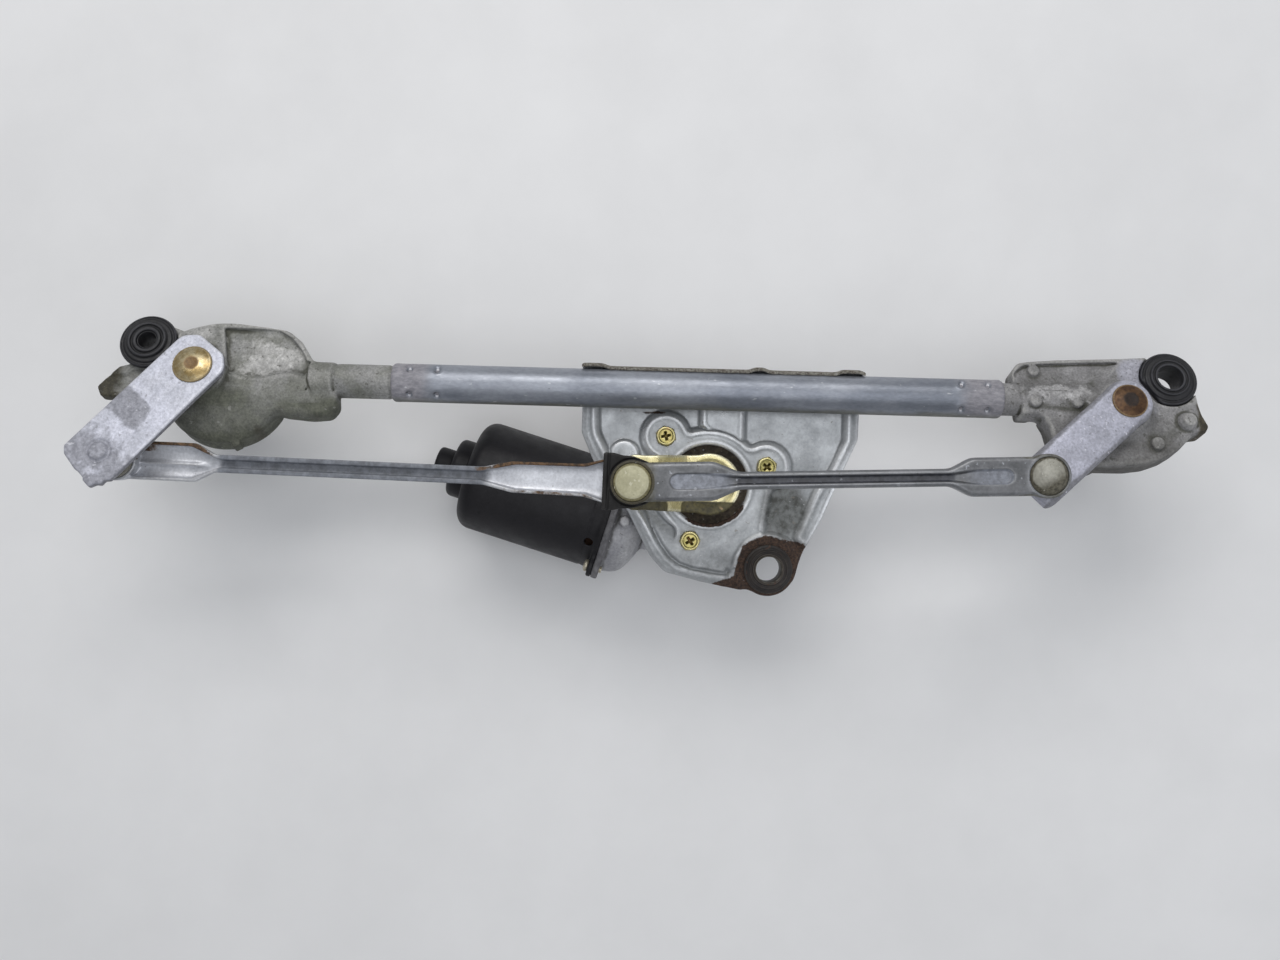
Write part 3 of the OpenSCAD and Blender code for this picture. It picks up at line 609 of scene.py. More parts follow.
# the arm's shade mask is the rod's painted shadow over the lower band, with soiling, except near x = 20
MT["arm"] = finish("yellow_zinc_arm", C(234, 224, 178), C(212, 200, 142), 0.07, contrast=(0.3, 0.7), metallic=0.6, rough=(0.22, 0.38), edge=(C(244, 240, 212), 0.15, 0.5, 0.6), masks=(("shade", C(56, 51, 30), C(92, 85, 50), 0.15, 0.6, 0.35, 0.75, 0.5),),
                   grime_and_shade=(C(84, 74, 44), 0.02, 0.4, 0.8), speck=[(C(112, 96, 60), 0.5, 0.67, 0.6), (C(216, 180, 140), 0.2, 0.62, 0.4)], bumps=((1.3, 0.06, 0.5),), tone=0.12)
MT["brass"] = finish("brass_head", C(190, 176, 142), C(160, 138, 94), 0.16, metallic=0.8, rough=(0.24, 0.36), edge=(C(200, 186, 150), 0.3, 0.9, 0.4),
                     masks=(("core", C(112, 84, 46), C(136, 106, 64), 0.5, 0.4, 0.35, 0.95, 0.5), ("ring", C(112, 96, 62), C(140, 122, 84), 0.4, 0.5, 0.5, 0.8, 0.36),
                            ("bare", C(150, 150, 152), C(172, 172, 174), 0.3, 0.3, 0.45, 0.6, 0.35)), bumps=((1.2, 0.08, 0.5),), tone=0.18)
MT["bronze"] = finish("bronze_head", C(98, 72, 48), C(72, 50, 34), 0.25, metallic=0.5, rough=(0.36, 0.55), edge=(C(136, 110, 78), 0.3, 0.9, 0.4),
                      masks=(("core", C(26, 17, 12), C(46, 30, 20), 0.4, 0.6, 0.25, 0.85, 0.65), ("ring", C(134, 112, 78), C(100, 76, 48), 0.6, 0.6, 0.5, 0.8, 0.45),
                             ("bare", C(150, 150, 152), C(172, 172, 174), 0.3, 0.3, 0.45, 0.6, 0.35)), bumps=((1.0, 0.14, 0.5),), tone=0.28)
MT["rubber"] = finish("black_rubber", C(22, 22, 25), C(33, 33, 37), 0.1, rough=(0.46, 0.64), edge=(C(74, 74, 80), 0.2, 0.7, 0.55), grime_and_shade=(C(15, 15, 17), 0.1, 0.5, 0.7),
                      speck=(C(84, 82, 82), 0.6, 0.71, 0.35), bumps=((1.6, 0.08, 0.5),), tone=0.15)
MT["rubber_low"] = finish("rusty_rubber", C(32, 28, 27), C(46, 40, 37), 0.12, rough=(0.5, 0.68), edge=(C(92, 85, 77), 0.2, 0.7, 0.6), grime_and_shade=(C(34, 24, 20), 0.05, 0.45, 0.8),
                          speck=[(C(84, 58, 44), 0.4, 0.62, 0.6), (C(90, 86, 80), 0.7, 0.7, 0.4)], bumps=((1.4, 0.1, 0.5),), tone=0.18)
MT["can"] = finish("black_can", C(9, 8, 13), C(14, 13, 18), 0.04, metallic=0.1, rough=(0.42, 0.58), specular=0.3, edge=(C(46, 45, 48), 0.35, 0.9, 0.5),
                   speck=[(C(44, 43, 46), 0.5, 0.7, 0.4), (C(8, 8, 9), 0.35, 0.68, 0.5)],
                   masks=(("dust", C(28, 27, 30), C(20, 19, 22), 0.07, 0.9, 0.45, 1.1, 0.6),), bumps=((1.3, 0.1, 0.5), (0.3, 0.14, 0.5)), tone=0.16)
MT["gearbox"] = finish("die_cast_gearbox", C(150, 150, 155), C(172, 172, 176), 0.06, metallic=0.35, rough=(0.42, 0.6), edge=(C(196, 196, 198), 0.15, 0.6, 0.6),
                       grime_and_shade=(C(70, 69, 66), 0.05, 0.5, 0.85), speck=[(C(96, 94, 92), 0.45, 0.65, 0.6), (C(206, 205, 206), 0.32, 0.66, 0.6)],
                       # the dark mask is grease and painted shade inside the plate's hole
                       masks=(("dark", C(78, 69, 57), C(112, 100, 84), 0.14, 0.4, 0.35, 0.7, 0.6), ("flange", C(92, 91, 94), C(112, 111, 114), 0.12, 0.5, 0.4, 0.8, 0.56)), bumps=((1.4, 0.16, 0.6), (0.35, 0.35, 0.6)), tone=0.2)
MT["cover"] = finish("gear_cover_sheet", C(150, 151, 152), C(168, 169, 170), 0.05, metallic=0.6, rough=(0.36, 0.52), edge=(C(196, 197, 198), 0.15, 0.5, 0.6),
                     grime_and_shade=(C(92, 90, 84), 0.05, 0.5, 0.7), speck=[(C(104, 98, 88), 0.45, 0.7, 0.5)], bumps=((1.2, 0.07, 0.5),))
MT["cream"] = finish("cream_cap", C(186, 182, 152), C(168, 164, 134), 0.16, rough=(0.36, 0.55), edge=(C(196, 192, 166), 0.2, 0.6, 0.5), grime_and_shade=(C(104, 99, 70), 0.1, 0.55, 0.85),
                     speck=[(C(112, 106, 84), 0.5, 0.68, 0.7), (C(208, 205, 182), 0.3, 0.62, 0.6)],
                     masks=(("rim", C(104, 97, 66), C(142, 135, 100), 0.3, 0.6, 0.45, 0.9, 0.6),), bumps=((1.0, 0.08, 0.5),), tone=0.12)
MT["grey_cap"] = finish("greyed_cap", C(168, 166, 156), C(146, 144, 134), 0.14, rough=(0.4, 0.6), edge=(C(178, 176, 166), 0.2, 0.6, 0.4), grime_and_shade=(C(74, 71, 58), 0.1, 0.55, 0.85),
                        speck=[(C(104, 100, 88), 0.5, 0.67, 0.7), (C(196, 194, 184), 0.4, 0.67, 0.5)], masks=(("rim", C(62, 58, 46), C(104, 100, 86), 0.2, 0.6, 0.35, 0.95, 0.62),), bumps=((1.0, 0.1, 0.5),), tone=0.16)
MT["black"] = finish("black_plastic", C(22, 21, 22), C(31, 30, 30), 0.08, specular=0.3, rough=(0.5, 0.66), edge=(C(64, 62, 60), 0.2, 0.7, 0.5), grime_and_shade=(C(46, 40, 32), 0.15, 0.6, 0.6),
                     speck=(C(78, 72, 62), 0.6, 0.7, 0.4), bumps=((1.4, 0.07, 0.5),), tone=0.12)
MT["steel"] = finish("bright_steel", C(168, 168, 170), C(150, 150, 153), 0.12, metallic=0.9, rough=(0.22, 0.36), edge=(C(200, 200, 202), 0.2, 0.6, 0.5),
                     speck=(C(110, 100, 88), 0.5, 0.7, 0.5), bumps=((1.6, 0.04, 0.5),))
MT["bush"] = finish("sintered_bronze", C(160, 112, 66), C(136, 94, 54), 0.3, metallic=0.7, rough=(0.45, 0.6), speck=(C(88, 60, 34), 1.2, 0.64, 0.7), bumps=((2.5, 0.05, 0.6),))
MT["ferrite"] = finish("ferrite", C(58, 58, 61), C(70, 70, 73), 0.2, rough=(0.6, 0.75), speck=(C(92, 92, 94), 1.0, 0.68, 0.5), bumps=((1.8, 0.06, 0.5),))
MT["phenolic"] = finish("phenolic_board", C(112, 70, 40), C(130, 84, 50), 0.15, rough=(0.45, 0.6), speck=(C(86, 52, 30), 0.9, 0.64, 0.5), bumps=((1.5, 0.04, 0.5),), stretch=(1, 0.3, 1))
MT["carbon"] = finish("carbon_brush", C(44, 43, 44), C(56, 54, 54), 0.4, metallic=0.2, rough=(0.5, 0.65), speck=(C(110, 84, 60), 1.4, 0.66, 0.6), bumps=((2.0, 0.05, 0.5),))
MT["nylon"] = finish("white_gear_nylon", C(222, 219, 206), C(210, 206, 190), 0.1, rough=(0.4, 0.55), speck=(C(186, 172, 130), 0.3, 0.66, 0.5), bumps=((1.0, 0.05, 0.5),))
MT["core"] = finish("laminated_core", C(96, 97, 100), C(118, 119, 122), 0.1, metallic=0.6, rough=(0.4, 0.55), speck=(C(74, 60, 48), 0.6, 0.68, 0.5), bumps=((2.2, 0.08, 0.5),), stretch=(2.5, 1, 1))
MT["copper"] = finish("copper", C(178, 104, 62), C(150, 82, 46), 0.25, metallic=0.85, rough=(0.3, 0.45), speck=(C(96, 56, 34), 0.9, 0.66, 0.5), bumps=((2.2, 0.12, 0.6),))
MT["washer"] = finish("zinc_washer", C(158, 159, 163), C(140, 141, 146), 0.2, metallic=0.8, rough=(0.3, 0.45), speck=(C(108, 92, 74), 0.6, 0.69, 0.6), bumps=((1.5, 0.04, 0.5),))
MT["pale"] = finish("pale_zinc", C(196, 189, 170), C(166, 158, 138), 0.3, metallic=0.6, rough=(0.28, 0.42), edge=(C(214, 208, 192), 0.15, 0.5, 0.5), grime_and_shade=(C(84, 76, 58), 0.02, 0.4, 0.8), speck=[(C(112, 98, 74), 0.7, 0.66, 0.6)], bumps=((1.4, 0.06, 0.5),))
MT["dull_steel"] = finish("dull_steel", C(112, 108, 101), C(84, 79, 72), 0.25, metallic=0.7, rough=(0.38, 0.54), edge=(C(156, 153, 146), 0.2, 0.6, 0.5), speck=[(C(74, 56, 44), 0.6, 0.62, 0.6)], bumps=((1.5, 0.06, 0.5),))
MT["floor"] = finish("floor", C(227, 227, 228), C(231, 231, 232), 0.004, rough=(0.6, 0.75), bumps=((0.08, 0.05, 0.1),), tone=0.02, grain=0.02)


# ------------------------------------------------------------------ frame tube
def frame_tube():
    x0, x1, n = -142.8, 205.4, 112
    xs = np.unique(np.concatenate([np.linspace(x0, x0 + 2.4, 7), np.arange(x0 + 2.4, x0 + 42, 0.8), np.linspace(x0 + 42, x1 - 42, 60),
                                   np.arange(x1 - 42, x1 - 2.4, 0.8), np.linspace(x1 - 2.4, x1, 7)]))
    th = np.linspace(0, 2 * math.pi, n, endpoint=False)
    X, T = np.meshgrid(xs, th, indexing="ij")
    R = np.full(X.shape, 11.0)
    e = np.minimum(X - x0, x1 - X)
    R -= 0.9 * np.clip(1 - e / 1.6, 0, 1) ** 2
    R += 0.12 * np.exp(-((e - 3.0) / 1.6) ** 2)
    pit, lit, dim = 0 * X, 0 * X, 0 * X
    for x in (-132.5, -116.8, 181.4, 196.3):
        for a in (43.0, -43.0, 137.0, -137.0):
            da = (np.degrees(T) - a + 180) % 360 - 180
            s = rad(1) * da * 11
            pit = np.maximum(pit, np.exp(-(((X - x) / 1.75) ** 2 + (s / 2.3) ** 2) ** 1.5))
            R += 0.22 * np.exp(-((np.hypot((X - x) / 1.0, s / 1.3) - 3.0) / 1.0) ** 2)
            # painted highlight on the outer flank of each dent and painted shade on its inner flank
            o = s * np.sign(a) * (1 if abs(a) < 90 else -1)
            lit = np.maximum(lit, np.exp(-(((X - x) / 1.15) ** 2 + ((o - 1.0) / 1.5) ** 2)))
            dim = np.maximum(dim, np.exp(-(((X - x + 0.5) / 2.0) ** 2 + ((o + 1.2) / 1.4) ** 2)))
    R -= 2.1 * pit
    v = [np.stack([X, R * np.sin(T), R * np.cos(T)], -1).reshape(-1, 3)]
    m = len(xs)
    inner = np.stack([X, 9.3 * np.sin(T), 9.3 * np.cos(T)], -1)[[0, -1]].reshape(-1, 3)
    v.append(inner)
    idx = np.arange(m * n).reshape(m, n)
    k = np.roll(idx, -1, 1)
    faces = np.stack([idx[:-1], k[:-1], k[1:], idx[1:]], -1).reshape(-1, 4)
    i0, i1 = m * n + np.arange(n), m * n + n + np.arange(n)
    r0, r1 = np.roll(i0, -1), np.roll(i1, -1)
    faces = np.concatenate([faces, np.stack([i0, r0, k[0], idx[0]], -1), np.stack([idx[-1], k[-1], r1, i1], -1), np.stack([i1, r1, r0, i0], -1)])
    v = np.concatenate(v)
    ob = make("frame_tube_skin", W.out(v), faces)
    ends = np.maximum(np.exp(-((v[:, 0] + 144) / 26) ** 4), np.exp(-((v[:, 0] - 207) / 30) ** 4))
    mark(ob, "end", ends * (1 - 0.9 * np.concatenate([pit.ravel(), np.zeros(2 * n)])))
    mark(ob, "lit", np.concatenate([lit.ravel(), np.zeros(2 * n)]))
    mark(ob, "dim", np.concatenate([dim.ravel(), np.zeros(2 * n)]))
    mark(ob, "under", np.clip(-v[:, 1] / 11, 0, 1) ** 2)
    # the dents also count as hollows, so the finish paints shade in them
    mark(ob, "cav", np.concatenate([(-0.9 * pit + 0.6 * np.exp(-((e - 0.8) / 0.8) ** 2)).ravel(), np.zeros(2 * n)]))
    return add(sharp(ob, 50), MT["tube"], ["frame_tube"])


# ------------------------------------------------------------------ pivot housings
def boss(g, f, c, z0, r0=15.5, zc=-46, zt=-10, rtop=25):
    """Spindle barrel with a flared root."""
    f = ru(f, cone(g, r0, rtop, zc, zt, c, 1.0), 4)
    f = ru(f, cyl(g, 15, z0, 11, c, 1.2), 2.5)
    return f


def rib(g, f, c, a, r0, r1, z0, z1, t=2.2):
    """An upright gusset from the barrel to the panel."""
    v = View(g, c, rad(a))
    top = between(v.z, -200, -7)
    slope = (z0 + (z1 - z0) * (v.x - f4(r0)) / f4(r1 - r0) - v.z) * f4(0.75)
    d = ri(ri(np.abs(v.y) - f4(t), np.maximum(between(v.x, r0, r1), top), 0.5), slope, 0.8)
    return ru(f, d, 1.6)


def left_housing():
    g = Grid((-313.5, -46, -63), (-109, 36, 12), 0.85)
    out = poly(g, fillet([(-276, 22, 5), (-262, 28.4, 10), (-249, 30.8, 14), (-220, 30.8, 20), (-205.5, 28.6, 10), (-197.2, 22, 12), (-190, 10.8, 3),
                          (-187, 9, 3), (-175.2, 9, 4), (-174, -8, 10), (-172.8, -16, 6), (-176.6, -22, 6), (-188, -23.2, 20), (-203, -21.8, 8), (-216, -18, 8), (-262, -16, 5)], 4))
    # the face is level at the top and falls off towards the lower edge
    yb = np.maximum(f4(-3) - g.y, 0)
    face = f4(6.8) - f4(0.0125) * yb * yb
    belly = circ(g, (-240, -3.5), 34.6)
    body = ru(out, belly, 5)
    slope = np.sqrt(1 + (f4(0.025) * yb) ** 2)
    f = ri(body, np.maximum((g.z - face) / slope, f4(-9) - g.z), 2.8)
    f = ru(f, ri(belly, np.maximum((g.z - face) / slope, f4(-20) - g.z), 5.0), 1.5)
    # pocket: thin upright walls above and at both sides, floor running out softly below
    pocket = poly(g, fillet([(-242.4, 28.9, 1.0), (-211.5, 28.8, 9), (-202.8, 23.6, 9), (-195.8, 15.6, 9), (-191.4, 7, 4), (-194, -6, 3), (-237, -6, 3), (-238, 6, 4)], 3))
    t = np.clip((f4(3.4) + f4(1.6) * np.cos((g.x + f4(222)) * f4(0.16)) * f4(-1) - g.y) / f4(6), 0, 1)
    floor = f4(3.9) + (face - f4(3.9)) * t * t * (3 - 2 * t) + f4(0.25) * np.sin(g.x * f4(0.21)) * np.sin(g.y * f4(0.33) + 1)
    f = cut(f, ri(pocket, floor - g.z, 0.5), 0.7)
    f = boss(g, f, SP_L, -62)
    for a in (20, 75, -60, -20, 160):
        f = rib(g, f, SP_L, a, 12, 44 if abs(a) < 70 else 26, -38, -14)
    # back pocket
    f = cut(f, prism(g, fillet([(-222, 20), (-208, 18), (-200, 8), (-196, -12), (-206, -18), (-216, -10), (-224, 6)], 4), -20.5, -4, 1), 1.5)
    # ear of the grommet and the stay behind it
    ear = ru(cyl(g, 15, -3, 3, GRL, 1.0), prism(g, fillet([(-297, 10), (-264, -12), (-245, 10), (-262, 26), (-279, 32.5)], 3), -3, 3, 1.0), 1.5)
    f = ru(f, ear, 2.0)
    tab = prism(g, fillet([(-312.4, -7.5, 1.6), (-308.6, -2.5, 2), (-301, 5, 3), (-287, 9), (-262, -4), (-268, -18), (-294, -12), (-302, -13.6, 3), (-309.5, -13.2, 1.8)], 2.5), -7, 0.4, 1.2)
    tab = ru(tab, prism(g, fillet([(-306, -1), (-301, 4.6), (-290, 8), (-288, 4), (-298, 0)], 1.5), -7, 2.0, 0.9), 1.6)
    f = ru(f, tab, 1.6)
    # sleeve round the neck, the neck itself and the spigot
    f = ru(f, ri(np.hypot(g.y + f4(0.9), g.z + f4(0.6)) - f4(11.1), between(g.x, -190.4, -176.0), 1.6), 1.8)
    f = ru(f, xcyl(g, 9.8, -178, -144, e=0.7), 0.9)
    f = un(f, xcyl(g, 9.2, -146, -110, e=1.0))
    f = cut(f, ri(line(g, [(-192.4, 8), (-190.8, -3), (-187.2, -14)]) - f4(0.5), f4(5.6) - g.z, 0), 0.9)
    ring = np.minimum(np.abs(g.x + f4(175.6)), np.abs(g.x + f4(191.0))) - f4(0.55)
    f = cut(f, np.maximum(np.maximum(ring, f4(9.3) - np.hypot(g.y, g.z)), np.maximum(f4(1) - g.z, np.abs(g.y) - f4(9))), 0.7)
    # ejector mark and rough ridge near the lever
    f = ru(f, cyl(g, 2.6, 0, 7.8, (-258, 23.5), 0.5), 0.8)
    f = ru(f, ri(np.abs(circ(g, SP_L, 20.5)) - f4(0.8), np.maximum(np.maximum(between(g.z, 0, 7.7), f4(8) - g.y), g.x + f4(245)), 0.5), 0.9)
    f = cut(f, cyl(g, 9, -80, 30, SP_L, 0), 0.5)
    f = cut(f, un(cyl(g, 10.5, -5, 5, GRL, 0), cyl(g, 17, 3, 30, GRL, 0), cyl(g, 17, -40, -3, GRL, 0)), 0.4)
    lime = lambda v: np.clip(0.72 * np.exp(-(((v[:, 0] + 214) / 18) ** 2 + ((v[:, 1] - 14) / 10) ** 2)) + 0.5 * np.exp(-(((v[:, 0] + 222) / 16) ** 2 + ((v[:, 1] - 3) / 5) ** 2)) + 0.5 * np.exp(-(((v[:, 0] + 256) / 18) ** 2 + ((v[:, 1] - 25) / 7) ** 2)) + 0.3, 0, 1) * (v[:, 2] > -3)
    return solid("left_pivot_housing_cast", g, f, H, MT["cast_l"], ["left_pivot_housing"], 0.3, {
        # painted shade: darker low down and towards the lower edge where the face turns down, the lever's painted
        # shadow at (-240, -14), and a darker patch at (-178, -17)
        "low": lambda v: np.clip((-3 - v[:, 2]) / 9, 0, 1) + 0.75 * np.clip((-6 - v[:, 1]) / 14, 0, 1) * (v[:, 0] < -166) + 0.6 * np.exp(-(((v[:, 0] + 240) / 9) ** 2 + ((v[:, 1] + 14) / 9) ** 2)) + 0.5 * np.exp(-(((v[:, 0] + 178) / 8) ** 2 + ((v[:, 1] + 17) / 7) ** 2)),
        "lime": lime, "olive": lambda v: np.clip((-292 - v[:, 0]) / 12, 0, 1) * (v[:, 1] < 12) + 0.7 * np.exp(-(((v[:, 0] + 216) / 8) ** 2 + ((v[:, 1] + 31) / 4.5) ** 2)) + 0.55 * np.exp(-(((v[:, 0] + 237) / 11) ** 2 + ((v[:, 1] + 22) / 8) ** 2)) + 0.5 * np.exp(-(((v[:, 0] + 204) / 7) ** 2 + ((v[:, 1] + 19) / 2.5) ** 2))})


def right_housing():
    g = Grid((172, -47, -65), (322, 29, 12), 0.85)
    out = fillet([(215.4, 7.4, 1), (212.2, 8.0, 1.0), (211.8, 15.6, 4), (215.4, 20.6, 5), (221.6, 21.8, 6), (238, 23.4, 20), (272.6, 25.2, 20), (291, 26.6, 6), (303, 22, 8), (316, 10, 6), (316.8, -3, 8), (318.4, -11, 4),
                  (320.2, -16.6, 1.2), (318.4, -19.8, 1.4), (312.4, -20.6, 4), (309, -23.6, 6), (302, -30.8, 12), (294.4, -35.6, 14), (284.4, -39.4, 14), (273.6, -41.0, 14), (258, -41.2, 20), (246, -40.6, 10), (238, -37, 8),
                  (231.5, -26, 10), (230, -18, 6), (227.5, -12.8, 4), (224, -10.9, 4), (214.6, -10.9, 1.5)], 4)
    f = prism(g, out, -9, 6.7, 2.2)
    # shallow pocket: crisp along the top, running out softly towards the lever and the barrel
    pocket = poly(g, fillet([(212.4, 9.5, 1.5), (213.2, 14, 4), (218.0, 18.8, 4), (228.4, 20.2, 10), (270.5, 22.4, 3), (277, 22.6, 1.5), (250, -8, 3), (238, -4, 3), (216.6, -2, 2), (213.4, 6, 2)], 3))
    d = (g.x - f4(273.6)) * f4(0.744) - (g.y - f4(21.6)) * f4(0.668)
    t = np.clip((d + f4(5)) / f4(5), 0, 1)
    u = np.clip((f4(12) - g.y) / f4(12), 0, 1)
    floor = f4(4.9) + f4(1.8) * np.maximum(t * t * (3 - 2 * t), f4(0.6) * u) + f4(0.25) * np.sin(g.x * f4(0.23)) * np.sin(g.y * f4(0.37))
    f = cut(f, ri(pocket, floor - g.z, 0.4), 0.6)
    f = ru(f, ri(ri(np.abs(d - f4(0.6)) - f4(0.7), between(g.z, 0, 7.1), 0.5), between(g.y, -6, 22), 1.0), 1.2)
    # drawn line below the upper wall of the pocket
    f = cut(f, ri(line(g, fillet([(213.8, 13), (214.4, 15), (218.8, 18.3), (228.4, 19.6), (272.4, 21.9)], 2, closed=False)) - f4(0.55), f4(4.1) - g.z, 0), 0.6)
    # half-round barrel that goes on from the neck
    f = ru(f, xcyl(g, 10.6, 215.4, 258, (-1.0, -1.6), 1.6), 2.2)
    f = ru(f, xcyl(g, 9.35, 204, 217, e=0.6), 0.3)
    f = un(f, xcyl(g, 9.2, 173, 209, e=1.0))
    ring = np.abs(g.x - f4(215.1)) - f4(0.55)
    f = cut(f, np.maximum(np.maximum(ring, f4(8.9) - np.hypot(g.y, g.z)), np.maximum(f4(0) - g.z, np.abs(g.y + f4(1)) - f4(9.4))), 0.6)
    # lug with its boss
    f = ru(f, prism(g, fillet([(308, -8), (315, -6), (318, -12), (320, -16.4), (318.2, -19.4), (310, -20)], 2), -6, 7.6, 1.2), 1.2)
    f = boss(g, f, SP_R, -64, rtop=24)
    f = ru(f, cyl(g, 17.5, -8, 8.4, SP_R, 2.0), 4.0)
    for a in (30, 100, 160, 210, -70, -25):
        f = rib(g, f, SP_R, a, 12, 40 if a in (160, 210) else 30, -40, -12)
    f = cut(f, prism(g, fillet([(222, 8), (240, 12), (240, -12), (222, -12)], 4), -20.5, -5, 1), 1.5)
    ear = ru(cyl(g, 15, -3, 3, GRR, 1.0), prism(g, fillet([(286, 10), (280, 26), (299, 27.4), (315, 8), (317, -8), (290, -10)], 3), -3, 3, 1.0), 1.5)
    f = ru(f, ear, 1.5)
    # ejector bosses
    for x, y, r, z in ((224.4, 16.2, 3.5, 6.5), (222.8, -4.0, 3.7, 10.2), (246.8, -4.4, 3.2, 9.7), (289.2, -28.2, 3.7, 10.0), (308.0, -14.2, 3.9, 12.2)):
        f = ru(f, cyl(g, r, 0, z, (x, y), 0.9), 0.9)
    f = ru(f, cone(g, 6.6, 5.0, 0, 10.0, (308.0, -14.2), 1.2), 1.2)
    f = cut(f, cyl(g, 9, -80, 30, SP_R, 0), 0.5)
    f = cut(f, un(cyl(g, 10.5, -5, 5, GRR, 0), cyl(g, 17, 3, 30, GRR, 0), cyl(g, 17, -40, -3, GRR, 0)), 0.4)
    return solid("right_pivot_housing_cast", g, f, H, MT["cast_r"], ["right_pivot_housing"], 0.3, {
        "lav": lambda v: 1.1 * np.exp(-(((v[:, 0] - 282) / 12) ** 2 + ((v[:, 1] - 14) / 13) ** 2) ** 2) + 0.5 * np.exp(-(((v[:, 0] - 291) / 9) ** 2 + ((v[:, 1] + 6) / 11) ** 2)),
        # painted shade: darker low down and towards the lower edge
        "low": lambda v: np.clip((1 - v[:, 2]) / 8, 0, 1) + 0.7 * np.clip((-14 - v[:, 1]) / 16, 0, 1),
        "lime": lambda v: (0.65 * np.exp(-(((v[:, 0] - 236) / 22) ** 2 + ((v[:, 1] - 2) / 6) ** 2)) + 0.35 * np.exp(-(((v[:, 0] - 288) / 16) ** 2 + ((v[:, 1] + 2) / 14) ** 2)) + 0.42) * (v[:, 2] > -2),
        "olive": lambda v: np.clip((v[:, 0] - 312) / 5, 0, 1) * (v[:, 1] < -2) + 0.45 * np.clip((v[:, 0] - 300) / 14, 0, 1) * np.clip((-17 - v[:, 1]) / 8, 0, 1)})


